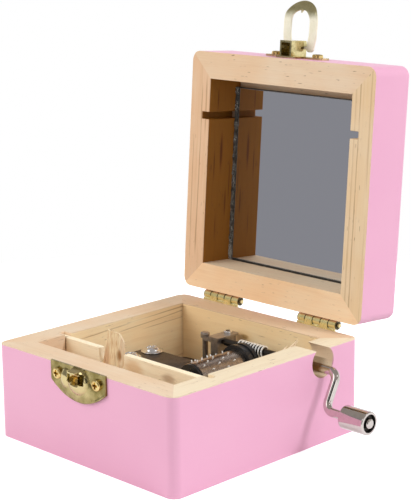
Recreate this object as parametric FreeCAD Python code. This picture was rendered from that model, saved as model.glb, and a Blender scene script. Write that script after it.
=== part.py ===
"""A wooden music box with a mirror in its lid and a hand cranked movement.

Millimetres. X is the width, with the crank on +X. Y is the depth, with the front on -Y and the
hinges on +Y. Z is up. The origin is the centre of the underside. The lid is shaped shut and then
swung open about the hinge pins, with everything that it carries.
"""
import FreeCAD, Part
import math
import os

V = FreeCAD.Vector
X_AXIS = V(1, 0, 0)
Y_AXIS = V(0, 1, 0)
Z_AXIS = V(0, 0, 1)

# Wooden box: four mitred walls and a board in a rebate, below and above the rim
BOX_WIDTH = 98.0
BOX_DEPTH = 100.0
BASE_HEIGHT = 37.5
LID_HEIGHT = 22.0
WALL = 11.0
CORNER_RADIUS = 4.0
LID_EDGE_RADIUS = 2.4
BOARD = 3.5
REBATE = 5.0
MIRROR_THICKNESS = 2.0
MIRROR_SIDE_GAP = 0.3
MIRROR_FRONT_GAP = 3.8
MIRROR_BACK_GAP = 0.5

# Divider board that lifts out of grooves cut through the walls of base and lid
DIVIDER_THICKNESS = 2.8
DIVIDER_FROM_FRONT = 26.5
DIVIDER_DROP = 1.2
GROOVE_DEPTH = 4.1
GROOVE_CLEARANCE = 0.1
NOTCH_X = -11.0
NOTCH_WIDTH = 14.0
NOTCH_DEPTH = 8.0

# Two butt hinges on the back: leaves, knuckles, pins and nails
LID_OPEN_ANGLE = 94.36
LID_GAP = 0.2
HINGE_AXIS_BEHIND = 2.14
HINGE_AXIS_ABOVE = 1.93
HINGE_X = 26.5
HINGE_LENGTH = 20.0
LEAF_HEIGHT = 10.0
LEAF_THICKNESS = 0.8
KNUCKLES = 5
KNUCKLE_DIAMETER = 3.6
KNUCKLE_GAP = 0.12
KNUCKLE_CLEARANCE = 0.3
STRAP_RELIEF = 0.15
HINGE_PIN_DIAMETER = 1.6
HINGE_PIN_OVERHANG = 0.9
NAIL_SPACING = 12.0
NAIL_FROM_AXIS = 6.8
NAIL_DIAMETER = 1.2
NAIL_LENGTH = 6.5
NAIL_HEAD_DIAMETER = 2.6
NAIL_HEAD_HEIGHT = 0.5
FASTENER_CLEARANCE = 0.05

# Clasp on the front: catch plate below the rim, hasp plate and swinging loop above it
CLASP_X = -0.4
CLASP_WIDTH = 30.6
CLASP_SHEET = 0.8
CATCH_RISE = 0.6
CATCH_RELIEF = 0.15
CATCH_SIDE_HEIGHT = 7.4
CATCH_HEIGHT = 13.3
CATCH_FOOT_WIDTH = 12.0
CATCH_FOOT_RISE = 1.6
CATCH_CORNER = 0.8
CATCH_DOME_DROP = 1.7
CATCH_DOME_WIDTH = 15.4
CATCH_DOME_HEIGHT = 8.8
CATCH_DOME_RISE = 2.6
CATCH_DOME_TOP_RISE = 1.2
CATCH_DOME_WALL = 0.6
BEAK_WIDTH = 4.8
BEAK_RISE = 4.4
BEAK_HEIGHT = 2.6
BEAK_HOOK = 1.2
BEAK_DROP = 0.4
CATCH_WINDOW_WIDTH = 2.35
CATCH_WINDOW_HEIGHT = 3.9
CATCH_WINDOW_DROP = 1.8
SCREW_SPREAD = 21.8
CLASP_SCREW_DIAMETER = 2.0
CLASP_SCREW_LENGTH = 8.0
CLASP_SCREW_HEAD = 4.4
CLASP_SCREW_HEAD_HEIGHT = 1.3
CLASP_SCREW_DROP = 3.6
HASP_PLATE_ABOVE_RIM = 11.0
HASP_PLATE_HEIGHT = 5.4
HASP_PLATE_MIDDLE = 10.0
HOOD_WIDTH = 6.2
HOOD_ABOVE_RIM = 3.8
HOOD_HEIGHT = 9.1
HOOD_OUT = 7.0
HOOD_ROUND = 0.6
HOOD_WINDOW_HEIGHT = 1.0
HOOD_WINDOW_START = 5.6
HOOD_WINDOW_END = 7.4
HASP_PIVOT_ABOVE_RIM = 12.0
HASP_PIVOT_OUT = 4.2
LOOP_STUB_DIAMETER = 1.2
LOOP_OUTER_WIDTH = 17.7
LOOP_INNER_WIDTH = 9.6
LOOP_REACH = 19.1
LOOP_FLARE_LENGTH = 5.5
LOOP_FLARE_ANGLE = 25.0
LOOP_LEAN_ANGLE = 1.0
LOOP_THICKNESS = 1.0
LOOP_END_WIDTH = 3.9
LOOP_SIDE_CLEARANCE = 0.25
LOOP_START = 1.6
LOOP_HOLE_START = 2.9
LOOP_NEAR_ROUND = 6.0
LOOP_HOLE_ROUND = 1.4
LOOP_TOOTH_WIDTH = 1.4
LOOP_TOOTH_HEIGHT = 0.9

# Movement: worm shaft across the box, over a wheel at the back end of the cylinder
SHAFT_FROM_WALL = 10.0
SHAFT_Z = 29.84
GEAR_MODULE = 0.5
GEAR_TEETH = 13
WORM_PITCH_DIAMETER = 4.2
THREAD_RISE = 0.5
THREAD_SINK = 0.45
THREAD_ROOT_WIDTH = 0.66
THREAD_CREST_WIDTH = 0.36
WORM_TURNS = 9
WORM_TURNS_LEFT = 3
SHAFT_DIAMETER = 3.0
JOURNAL_DIAMETER = 2.3
RUNNING_CLEARANCE = 0.05
SHAFT_SOCKET_DIAMETER = 2.0
SHAFT_SOCKET_DEPTH = 5.0
SHAFT_END_GAP = 5.0

# Crank: one bent wire with a turning knob
WIRE_DIAMETER = 3.4
CRANK_ARM_GAP = 7.0
CRANK_RADIUS = 15.0
CRANK_ANGLE = 28.0
CRANK_BEND_RADIUS = 3.6
CRANK_HOLE_DIAMETER = 12.2
CRANK_HOLE_FORWARD = 0.3
CRANK_HOLE_Z = 32.5
KNOB_GAP = 16.6
KNOB_LENGTH = 11.6
KNOB_DIAMETER = 9.0
KNOB_EDGE_RADIUS = 0.5
KNOB_RECESS_DIAMETER = 7.0
KNOB_RECESS_DEPTH = 1.3
RIVET_DIAMETER = 4.0
RIVET_THICKNESS = 2.0

# Cylinder and what turns with it
CYLINDER_X = 10.5
CYLINDER_DIAMETER = 13.0
CYLINDER_FORWARD = 31.8
CYLINDER_LENGTH = 23.8
CYLINDER_WALL = 0.9
CAP_LENGTH = 1.2
CAP_PLUG = 2.0
ARBOR_DIAMETER = 2.5
RING_DIAMETER = 16.6
RING_THICKNESS = 5.0
RING_GROOVE = 0.5
GEAR_FACE = 4.0
GEAR_HUB_DIAMETER = 6.0
TOOTH_ROOT_WIDTH = 0.8
TOOTH_TIP_WIDTH = 0.3
PIN_DIAMETER = 0.55
PIN_HEIGHT = 0.8
PIN_COUNT = 54
PIN_MARGIN = 2.0

# Comb: a steel plate cut into tuned teeth
COMB_TINES = 18
COMB_DROP = 0.7
TINE_PITCH = 1.08
TINE_SLOT = 0.25
TINE_THICKNESS = 0.9
COMB_HEEL_THICKNESS = 2.2
COMB_HEEL_LENGTH = 13.0
COMB_MARGIN = 1.0
COMB_SIDE = 0.7
TINE_ROOT = 2.9
TINE_TAPER = 0.465
TIP_CLEARANCE = 0.3
COMB_SCREW_INSET = 5.4
COMB_SCREW_DIAMETER = 3.0
COMB_SCREW_HEAD = 8.4
COMB_SCREW_HEAD_HEIGHT = 2.4
COMB_SCREW_WASHER = 0.8
COMB_SCREW_LENGTH = 6.5
COMB_SCREW_FORWARD = 28.0
COMB_SCREW_SPACING = 12.0
RECESS_WIDTH = 0.9
RECESS_DEPTH = 0.9

# Cast bedplate on a wooden block, and the bracket that carries the worm shaft
BLOCK_HEIGHT = 9.5
BLOCK_MARGIN = 1.2
BEDPLATE = 2.0
BED_LEFT_GAP = 2.5
BED_RIGHT = 17.5
BED_FORWARD = 38.0
BED_BACK_GAP = 1.8
BED_RIGHT_GAP = 5.5
BED_CORNER = 2.5
LUG_WIDTH = 7.0
LUG_THICKNESS = 3.0
LUG_GAP = 0.3
FOOT_THICKNESS = 2.5
FOOT_FORWARD = 2.5
FOOT_LEFT = -16.0
COLUMN_LEFT = -7.9
COLUMN_RIGHT = -4.0
COLUMN_FORWARD = 3.4
PILLAR_X = -13.4
PILLAR_FORWARD = 1.0
PILLAR_DIAMETER = 2.4
PILLAR_TOP = 32.1
PILLAR_HEAD_DIAMETER = 3.8
PILLAR_HEAD_HEIGHT = 2.2
BAR_WIDTH = 1.5
BAR_HEIGHT = 1.6
BAR_DROP = 0.4
POST_THICKNESS = 3.5
POST_MARGIN = 1.0
POST_WIDTH = 6.0
CAP_PLATE = 0.8
CAP_OVERHANG = 1.0
CAP_SCREW_BACK = 2.6
CAP_SCREW_DIAMETER = 2.0
CAP_SCREW_HEAD = 3.4
CAP_SCREW_HEAD_HEIGHT = 1.2
CAP_SCREW_LENGTH = 5.0
BED_SCREW_DIAMETER = 2.6
BED_SCREW_HEAD = 5.2
BED_SCREW_HEAD_HEIGHT = 1.6
BED_SCREW_BITE = 3.0

# Places that follow from the sizes above
RIM = BASE_HEIGHT
LID_RIM = BASE_HEIGHT + LID_GAP
LID_TOP = LID_RIM + LID_HEIGHT
FRONT = -BOX_DEPTH / 2
BACK = BOX_DEPTH / 2
HINGE_Y = BACK + HINGE_AXIS_BEHIND
HINGE_Z = RIM + HINGE_AXIS_ABOVE
INNER_X = BOX_WIDTH / 2 - WALL
INNER_Y = BOX_DEPTH / 2 - WALL
DIVIDER_Y = FRONT + DIVIDER_FROM_FRONT
SHAFT_Y = INNER_Y - SHAFT_FROM_WALL
SHAFT_END = INNER_X - SHAFT_END_GAP
CRANK_HOLE_Y = SHAFT_Y - CRANK_HOLE_FORWARD
CRANK_OUT = BOX_WIDTH / 2 + CRANK_ARM_GAP
KNOB_START = BOX_WIDTH / 2 + KNOB_GAP
CYLINDER_FRONT = SHAFT_Y - CYLINDER_FORWARD
BED_LEFT = BED_LEFT_GAP - INNER_X
BED_TAB_END = INNER_X - BED_RIGHT_GAP
BED_FRONT = SHAFT_Y - BED_FORWARD
BED_BACK = INNER_Y - BED_BACK_GAP
FOOT_FRONT = SHAFT_Y - FOOT_FORWARD
COLUMN_FRONT = SHAFT_Y - COLUMN_FORWARD
PILLAR_Y = SHAFT_Y - PILLAR_FORWARD
POST_RIGHT = BED_TAB_END - POST_MARGIN
POST_LEFT = POST_RIGHT - POST_THICKNESS
COMB_LEFT = BED_LEFT + COMB_MARGIN
COMB_SCREW_X = COMB_LEFT + COMB_SCREW_INSET
COMB_SCREW_FIRST_Y = SHAFT_Y - COMB_SCREW_FORWARD
COMB_SCREW_SECOND_Y = COMB_SCREW_FIRST_Y + COMB_SCREW_SPACING
GEAR_RADIUS = GEAR_MODULE * GEAR_TEETH / 2
GEAR_TIP = GEAR_RADIUS + THREAD_RISE
GEAR_ROOT = GEAR_RADIUS - THREAD_RISE - 0.1
CYLINDER_Z = SHAFT_Z - GEAR_RADIUS - WORM_PITCH_DIAMETER / 2
WORM_PITCH = math.pi * GEAR_MODULE
WORM_START = CYLINDER_X - (WORM_TURNS_LEFT + 0.5) * WORM_PITCH
SHAFT_SHOULDER = COLUMN_RIGHT + CAP_OVERHANG + LUG_GAP
LEAD_ANGLE = math.degrees(math.atan(WORM_PITCH / (math.pi * WORM_PITCH_DIAMETER)))
CYLINDER_BACK = CYLINDER_FRONT + CYLINDER_LENGTH
RING_BACK = CYLINDER_BACK + RING_THICKNESS
GEAR_FRONT = SHAFT_Y - GEAR_FACE / 2
GEAR_BACK = SHAFT_Y + GEAR_FACE / 2
BLOCK_TOP = BOARD + BLOCK_HEIGHT
BED_TOP = BLOCK_TOP + BEDPLATE
FOOT_TOP = BED_TOP + FOOT_THICKNESS
COLUMN_TOP = SHAFT_Z + JOURNAL_DIAMETER / 2 + RUNNING_CLEARANCE
COLUMN_BACK = BED_BACK - CAP_OVERHANG
COMB_TOP = CYLINDER_Z - COMB_DROP
COMB_FRONT = CYLINDER_FRONT - COMB_SIDE
COMB_BACK = COMB_FRONT + COMB_TINES * TINE_PITCH
TINE_TIP = CYLINDER_X - CYLINDER_DIAMETER / 2 - PIN_HEIGHT - TIP_CLEARANCE
TINE_LONGEST = TINE_TIP - COMB_LEFT - COMB_HEEL_LENGTH - TINE_ROOT
TINE_SHORTEST = TINE_LONGEST * TINE_TAPER
SEAT_TOP = COMB_TOP - COMB_HEEL_THICKNESS
CATCH_TOP = RIM + CATCH_RISE
CLASP_SCREW_Z = RIM - CLASP_SCREW_DROP
HASP_PLATE_Z = RIM + HASP_PLATE_ABOVE_RIM
HASP_Z = RIM + HASP_PIVOT_ABOVE_RIM
HASP_Y = FRONT - HASP_PIVOT_OUT
HOOD_LOW = RIM + HOOD_ABOVE_RIM
HOOD_HIGH = HOOD_LOW + HOOD_HEIGHT
KNOB_END = KNOB_START + KNOB_LENGTH
RECESS_FLOOR = KNOB_END - KNOB_RECESS_DEPTH
KNOB_Y = SHAFT_Y - CRANK_RADIUS * math.sin(math.radians(CRANK_ANGLE))
KNOB_Z = SHAFT_Z - CRANK_RADIUS * math.cos(math.radians(CRANK_ANGLE))


def box(x0, x1, y0, y1, z0, z1):
    """A block between two limits along each axis."""
    return Part.makeBox(x1 - x0, y1 - y0, z1 - z0, V(x0, y0, z0))


def rod(diameter, start, end):
    """A round bar from one point to another."""
    along = V(end) - V(start)
    return Part.makeCylinder(diameter / 2, along.Length, V(start), along)


def union(shapes):
    """The pieces as one solid, with no leftover seams."""
    return shapes[0].multiFuse(shapes[1:]).removeSplitter()


def prism(points, along):
    """A flat outline swept along a vector."""
    corners = [V(*p) for p in points]
    return Part.Face(Part.makePolygon(corners + corners[:1])).extrude(along)


def plate(x0, x1, y0, y1, z0, z1, radius):
    """A flat block with rounded upright corners."""
    return round_edges(box(x0, x1, y0, y1, z0, z1), Z_AXIS, radius)


def round_edges(solid, direction, radius):
    """Round every straight edge that runs along a direction."""
    picked = []
    for edge in solid.Edges:
        run = edge.Vertexes[-1].Point - edge.Vertexes[0].Point
        if edge.Curve.TypeId == "Part::GeomLine" and run.cross(direction).Length < 1e-6:
            picked.append(edge)
    return solid.makeFillet(radius, picked)


def edges_at(solid, level):
    """The edges that lie wholly at one height."""
    picked = []
    for edge in solid.Edges:
        limits = edge.BoundBox
        if abs(limits.ZMin - level) < 1e-6 and abs(limits.ZMax - level) < 1e-6:
            picked.append(edge)
    return picked


def opened(shape):
    """A lid piece, shaped shut, swung open about the hinge pins."""
    turned = shape.copy()
    turned.rotate(V(0, HINGE_Y, HINGE_Z), X_AXIS, -LID_OPEN_ANGLE)
    return turned


def screw(head, shank, head_height, length, washer=0.0, washer_height=0.0):
    """A cross recessed screw, head up, with the head's underside at the origin."""
    parts = [Part.makeCylinder(shank / 2, length, V(0, 0, -length))]
    if washer_height:
        parts.append(Part.makeCylinder(washer / 2, washer_height))
    dome = Part.makeCylinder(head / 2, head_height, V(0, 0, washer_height))
    dome = dome.makeFillet(head_height / 2, edges_at(dome, washer_height + head_height))
    solid = union(parts + [dome])
    top = washer_height + head_height
    arm = head * 0.3
    cross = box(-arm, arm, -RECESS_WIDTH / 2, RECESS_WIDTH / 2, top - RECESS_DEPTH, top + 1)
    across = cross.copy()
    across.rotate(V(), Z_AXIS, 90)
    return solid.cut(union([cross, across]))


def placed(shape, direction, point):
    """A fastener turned from +Z to another direction and set at a point."""
    moved = shape.copy()
    turn = FreeCAD.Rotation(Z_AXIS, V(direction))
    moved.Placement = FreeCAD.Placement(V(*point), turn)
    return moved


# Wooden box

def ring(bottom, top):
    """The four walls of the base or the lid before they are cut at the mitres."""
    outer = plate(-BOX_WIDTH / 2, BOX_WIDTH / 2, FRONT, BACK, bottom, top, CORNER_RADIUS)
    return outer.cut(box(-INNER_X, INNER_X, -INNER_Y, INNER_Y, bottom - 1, top + 1))


def board(bottom):
    """The board that closes the base or the lid, set in its rebate."""
    return box(-INNER_X - REBATE, INNER_X + REBATE, -INNER_Y - REBATE, INNER_Y + REBATE, bottom, bottom + BOARD)


def grooves(bottom, top):
    """The pair of upright grooves for the divider in the side walls."""
    half = DIVIDER_THICKNESS / 2 + GROOVE_CLEARANCE
    reach = INNER_X + GROOVE_DEPTH
    return box(-reach, reach, DIVIDER_Y - half, DIVIDER_Y + half, bottom, top)


def mitred_walls(walls, bottom, top):
    """Cut a ring of walls at its mitres into front, back, left and right."""
    w, d, x, y = BOX_WIDTH / 2, BOX_DEPTH / 2, INNER_X, INNER_Y
    height = V(0, 0, top - bottom)
    outlines = {
        "front_wall": [(-w, -d), (w, -d), (x, -y), (-x, -y)],
        "back_wall": [(w, d), (-w, d), (-x, y), (x, y)],
        "left_wall": [(-w, d), (-w, -d), (-x, -y), (-x, y)],
        "right_wall": [(w, -d), (w, d), (x, y), (x, -y)],
    }
    return {name: walls.common(prism([(a, b, bottom) for a, b in outline], height))
            for name, outline in outlines.items()}


def base_walls():
    """The base's walls, with rebate, grooves and the hole that the crank passes through."""
    walls = ring(0, RIM).cut(board(0)).cut(grooves(BOARD, RIM + 1))
    hole = rod(CRANK_HOLE_DIAMETER, V(INNER_X - 1, CRANK_HOLE_Y, CRANK_HOLE_Z),
               V(BOX_WIDTH / 2 + 1, CRANK_HOLE_Y, CRANK_HOLE_Z))
    walls = walls.cut(hole)
    for spot in hinge_nail_spots(-1):
        walls = walls.cut(nail_hole(spot))
    for spot in clasp_screw_spots(CLASP_SCREW_Z):
        walls = walls.cut(clasp_screw_hole(spot))
    return mitred_walls(walls, 0, RIM)


def lid_walls():
    """The lid's walls, with soft outer edges round the top, rebate and grooves."""
    outer = plate(-BOX_WIDTH / 2, BOX_WIDTH / 2, FRONT, BACK, LID_RIM, LID_TOP, CORNER_RADIUS)
    outer = outer.makeFillet(LID_EDGE_RADIUS, edges_at(outer, LID_TOP))
    walls = outer.cut(box(-INNER_X, INNER_X, -INNER_Y, INNER_Y, LID_RIM - 1, LID_TOP + 1))
    walls = walls.cut(board(LID_TOP - BOARD)).cut(grooves(LID_RIM - 1, LID_TOP - BOARD))
    for spot in hinge_nail_spots(1):
        walls = walls.cut(nail_hole(spot))
    for spot in clasp_screw_spots(HASP_PLATE_Z):
        walls = walls.cut(clasp_screw_hole(spot))
    return mitred_walls(walls, LID_RIM, LID_TOP)


def mirror():
    """The mirror glass, lying on the lid board between the side walls."""
    top = LID_TOP - BOARD
    return box(-INNER_X + MIRROR_SIDE_GAP, INNER_X - MIRROR_SIDE_GAP, -INNER_Y + MIRROR_FRONT_GAP,
               INNER_Y - MIRROR_BACK_GAP, top - MIRROR_THICKNESS, top)


def divider():
    """The divider board with its finger notch."""
    reach = INNER_X + GROOVE_DEPTH - GROOVE_CLEARANCE
    half = DIVIDER_THICKNESS / 2
    top = RIM - DIVIDER_DROP
    solid = box(-reach, reach, DIVIDER_Y - half, DIVIDER_Y + half, BOARD, top)
    radius = NOTCH_WIDTH / 2
    low = top - NOTCH_DEPTH
    notch = box(NOTCH_X - radius, NOTCH_X + radius, DIVIDER_Y - half - 1, DIVIDER_Y + half + 1, low, top + radius)
    corner = min(NOTCH_DEPTH, radius) * 0.8
    return solid.cut(round_edges(notch, Y_AXIS, corner))


# Hinges

def knuckle_span(index):
    """Where one knuckle starts and ends along its hinge, from the hinge's left end."""
    pitch = HINGE_LENGTH / KNUCKLES
    return index * pitch + KNUCKLE_GAP / 2, (index + 1) * pitch - KNUCKLE_GAP / 2


def hinge_leaf(centre, first, up):
    """One leaf with every second knuckle. up is 1 for the lid's leaf and -1 for the base's."""
    left = centre - HINGE_LENGTH / 2
    relief = KNUCKLE_DIAMETER / 2 + KNUCKLE_CLEARANCE
    near, far = HINGE_Z + up * relief, HINGE_Z + up * LEAF_HEIGHT
    parts = [box(left, left + HINGE_LENGTH, BACK, BACK + LEAF_THICKNESS, min(near, far), max(near, far))]
    for index in range(first, KNUCKLES, 2):
        start, end = knuckle_span(index)
        neck, strap = HINGE_Z + up * LEAF_THICKNESS / 2, HINGE_Z + up * LEAF_THICKNESS
        parts.append(box(left + start, left + end, BACK, BACK + LEAF_THICKNESS, min(neck, near), max(neck, near)))
        parts.append(box(left + start, left + end, BACK + STRAP_RELIEF, HINGE_Y, min(HINGE_Z, strap),
                         max(HINGE_Z, strap)))
        parts.append(rod(KNUCKLE_DIAMETER, V(left + start, HINGE_Y, HINGE_Z), V(left + end, HINGE_Y, HINGE_Z)))
    leaf = union(parts)
    bore = HINGE_PIN_DIAMETER + 2 * RUNNING_CLEARANCE
    leaf = leaf.cut(rod(bore, V(left - 1, HINGE_Y, HINGE_Z), V(left + HINGE_LENGTH + 1, HINGE_Y, HINGE_Z)))
    for spot in hinge_nail_spots(up):
        leaf = leaf.cut(nail_hole(spot))
    return leaf


def hinge_pin(centre):
    """A hinge pin that stands out a little at the right end."""
    left = centre - HINGE_LENGTH / 2
    return rod(HINGE_PIN_DIAMETER, V(left, HINGE_Y, HINGE_Z),
               V(left + HINGE_LENGTH + HINGE_PIN_OVERHANG, HINGE_Y, HINGE_Z))


def hinge_nail_spots(up):
    """The nail places on the back face, in one leaf of each hinge."""
    height = HINGE_Z + up * NAIL_FROM_AXIS
    return [(side * HINGE_X + step * NAIL_SPACING / 2, BACK, height) for side in (-1, 1) for step in (-1, 1)]


def nail_hole(spot):
    """The hole of one nail through leaf and wall."""
    x, y, z = spot
    return rod(NAIL_DIAMETER + 2 * FASTENER_CLEARANCE, V(x, y - NAIL_LENGTH, z), V(x, y + LEAF_THICKNESS + 1, z))


def hinge_nails(up):
    """The round headed nails of one leaf of each hinge."""
    nails = []
    for x, y, z in hinge_nail_spots(up):
        seat = y + LEAF_THICKNESS
        head = rod(NAIL_HEAD_DIAMETER, V(x, seat, z), V(x, seat + NAIL_HEAD_HEIGHT, z))
        nails.append(head.fuse(rod(NAIL_DIAMETER, V(x, seat, z), V(x, seat - NAIL_LENGTH, z))))
    return nails


# Clasp

def clasp_screw_spots(height):
    """The two screw places of a clasp plate on the front face."""
    return [(CLASP_X + side * SCREW_SPREAD / 2, FRONT, height) for side in (-1, 1)]


def clasp_screw_hole(spot):
    """The hole of one clasp screw through plate and wall."""
    x, y, z = spot
    return rod(CLASP_SCREW_DIAMETER + 2 * FASTENER_CLEARANCE, V(x, y - CLASP_SHEET - 1, z),
               V(x, y + CLASP_SCREW_LENGTH, z))


def clasp_screws(height):
    """The two domed screws of a clasp plate."""
    one = screw(CLASP_SCREW_HEAD, CLASP_SCREW_DIAMETER, CLASP_SCREW_HEAD_HEIGHT, CLASP_SCREW_LENGTH)
    return [placed(one, (0, -1, 0), (x, y - CLASP_SHEET, z)) for x, y, z in clasp_screw_spots(height)]


def sheet_outline(width, side, height, foot, rise):
    """A shield outline about x = 0 and z = 0: straight top and sides, slanted below, an arc at the foot."""
    half, low = width / 2, foot / 2
    corners = [V(-low, 0, rise - height), V(-half, 0, -side), V(-half, 0, 0), V(half, 0, 0), V(half, 0, -side),
               V(low, 0, rise - height)]
    edges = [Part.LineSegment(a, b).toShape() for a, b in zip(corners, corners[1:])]
    edges.append(Part.Arc(corners[-1], V(0, 0, -height), corners[0]).toShape())
    return Part.Face(Part.Wire(edges))


def catch_dome(shrink):
    """The pressed boss of the catch, low at its top and high at its foot, or its hollow behind."""
    width = CATCH_DOME_WIDTH - 4 * shrink
    height = CATCH_DOME_HEIGHT - 3 * shrink
    top = CATCH_TOP - CATCH_DOME_DROP - shrink
    foot = top - height
    outline = sheet_outline(width, height / 3, height, width * 0.7, height / 5)
    blank = outline.extrude(V(0, 2 * CATCH_DOME_RISE, 0)).translated(V(CLASP_X, FRONT - CATCH_DOME_RISE, top))
    low, high = FRONT - CATCH_DOME_TOP_RISE + shrink, FRONT - CATCH_DOME_RISE + shrink
    left = CLASP_X - width
    slope = prism([(left, low, top), (left, high, foot), (left, FRONT + shrink, foot), (left, FRONT + shrink, top)],
                  V(2 * width, 0, 0))
    return blank.common(slope)


def catch_plate():
    """The catch: a shield shaped plate with a boss, two windows and a beak that holds the loop."""
    shield = sheet_outline(CLASP_WIDTH, CATCH_SIDE_HEIGHT, CATCH_HEIGHT, CATCH_FOOT_WIDTH, CATCH_FOOT_RISE)
    sheet = shield.extrude(V(0, CLASP_SHEET, 0)).translated(V(CLASP_X, FRONT - CLASP_SHEET, CATCH_TOP))
    ends = [e for e in sheet.Edges if abs(e.BoundBox.XLength) < 1e-6 and abs(e.BoundBox.ZLength) < 1e-6
            and abs(e.BoundBox.XMin - CLASP_X) > CLASP_WIDTH / 2 - 1e-3]
    sheet = sheet.makeFillet(CATCH_CORNER, ends)
    solid = union([sheet, catch_dome(0)]).cut(catch_dome(CATCH_DOME_WALL)).fuse(beak())
    top = CATCH_TOP - CATCH_WINDOW_DROP
    for side in (-1, 1):
        start = CLASP_X + side * BEAK_WIDTH / 2
        end = start + side * CATCH_WINDOW_WIDTH
        solid = solid.cut(box(min(start, end), max(start, end), FRONT - BEAK_RISE, FRONT + 1,
                              top - CATCH_WINDOW_HEIGHT, top))
    for spot in clasp_screw_spots(CLASP_SCREW_Z):
        solid = solid.cut(clasp_screw_hole(spot))
    lip = box(CLASP_X - CLASP_WIDTH, CLASP_X + CLASP_WIDTH, FRONT - CATCH_RELIEF, FRONT + 1, RIM, CATCH_TOP + 1)
    return solid.cut(lip).removeSplitter()


def beak():
    """The hooked beak in the middle of the catch, over which the loop's end snaps."""
    top = RIM - BEAK_DROP
    root = FRONT - CLASP_SHEET / 2
    tip = FRONT - BEAK_RISE
    left = CLASP_X - BEAK_WIDTH / 2
    outline = [(left, root, top), (left, tip, top - BEAK_HOOK * 0.4), (left, tip, top - BEAK_HOOK),
               (left, root, top - BEAK_HEIGHT)]
    return prism(outline, V(BEAK_WIDTH, 0, 0))


def hasp_hood():
    """The hood of the hasp: a folded channel that is open towards the rim, with a window in each cheek."""
    half = HOOD_WIDTH / 2
    outer = box(CLASP_X - half, CLASP_X + half, FRONT - HOOD_OUT, FRONT - CLASP_SHEET / 2, HOOD_LOW, HOOD_HIGH)
    fold = [e for e in outer.Edges if e.BoundBox.YMax < FRONT - HOOD_OUT + 1e-6 and e.BoundBox.ZMin > HOOD_HIGH - 1e-6]
    outer = outer.makeFillet(HOOD_ROUND, fold)
    inside = half - CLASP_SHEET
    hollow = box(CLASP_X - inside, CLASP_X + inside, FRONT - HOOD_OUT + CLASP_SHEET, FRONT - CLASP_SHEET,
                 HOOD_LOW - 1, HOOD_HIGH - CLASP_SHEET)
    window = box(CLASP_X - HOOD_WIDTH, CLASP_X + HOOD_WIDTH, HASP_Y - HOOD_WINDOW_HEIGHT / 2,
                 HASP_Y + HOOD_WINDOW_HEIGHT / 2, HOOD_LOW + HOOD_WINDOW_START, HOOD_LOW + HOOD_WINDOW_END)
    return outer.cut(hollow).cut(window)


def hasp_plate():
    """The plate on the lid with its hood and the two holes that the loop swings in."""
    half = CLASP_WIDTH / 2
    flat = box(CLASP_X - half, CLASP_X + half, FRONT - CLASP_SHEET, FRONT, HASP_PLATE_Z - HASP_PLATE_HEIGHT / 2,
               HASP_PLATE_Z + HASP_PLATE_HEIGHT / 2)
    flat = round_edges(flat, Y_AXIS, HASP_PLATE_HEIGHT / 4)
    middle = box(CLASP_X - HASP_PLATE_MIDDLE / 2, CLASP_X + HASP_PLATE_MIDDLE / 2, FRONT - CLASP_SHEET, FRONT,
                 HOOD_LOW, HOOD_HIGH)
    solid = union([flat, middle, hasp_hood()])
    bore = LOOP_STUB_DIAMETER + 2 * RUNNING_CLEARANCE
    reach = V(HOOD_WIDTH, 0, 0)
    centre = V(CLASP_X, HASP_Y, HASP_Z)
    solid = solid.cut(rod(bore, centre - reach, centre + reach))
    for spot in clasp_screw_spots(HASP_PLATE_Z):
        solid = solid.cut(clasp_screw_hole(spot))
    return solid


def rounded_plan(width, start, end, near_round, far_round):
    """A slab in the plane z = 0 that reaches from one place to another along -Y, with rounded corners."""
    half = width / 2
    slab = box(-half, half, -end, -start, -LOOP_REACH, LOOP_REACH)
    for place, radius in ((-start, near_round), (-end, far_round)):
        corners = [e for e in slab.Edges if e.BoundBox.ZLength > LOOP_REACH and e.BoundBox.YLength < 1e-6
                   and abs(e.BoundBox.YMin - place) < 1e-6]
        slab = slab.makeFillet(radius, corners)
    return slab


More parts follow.
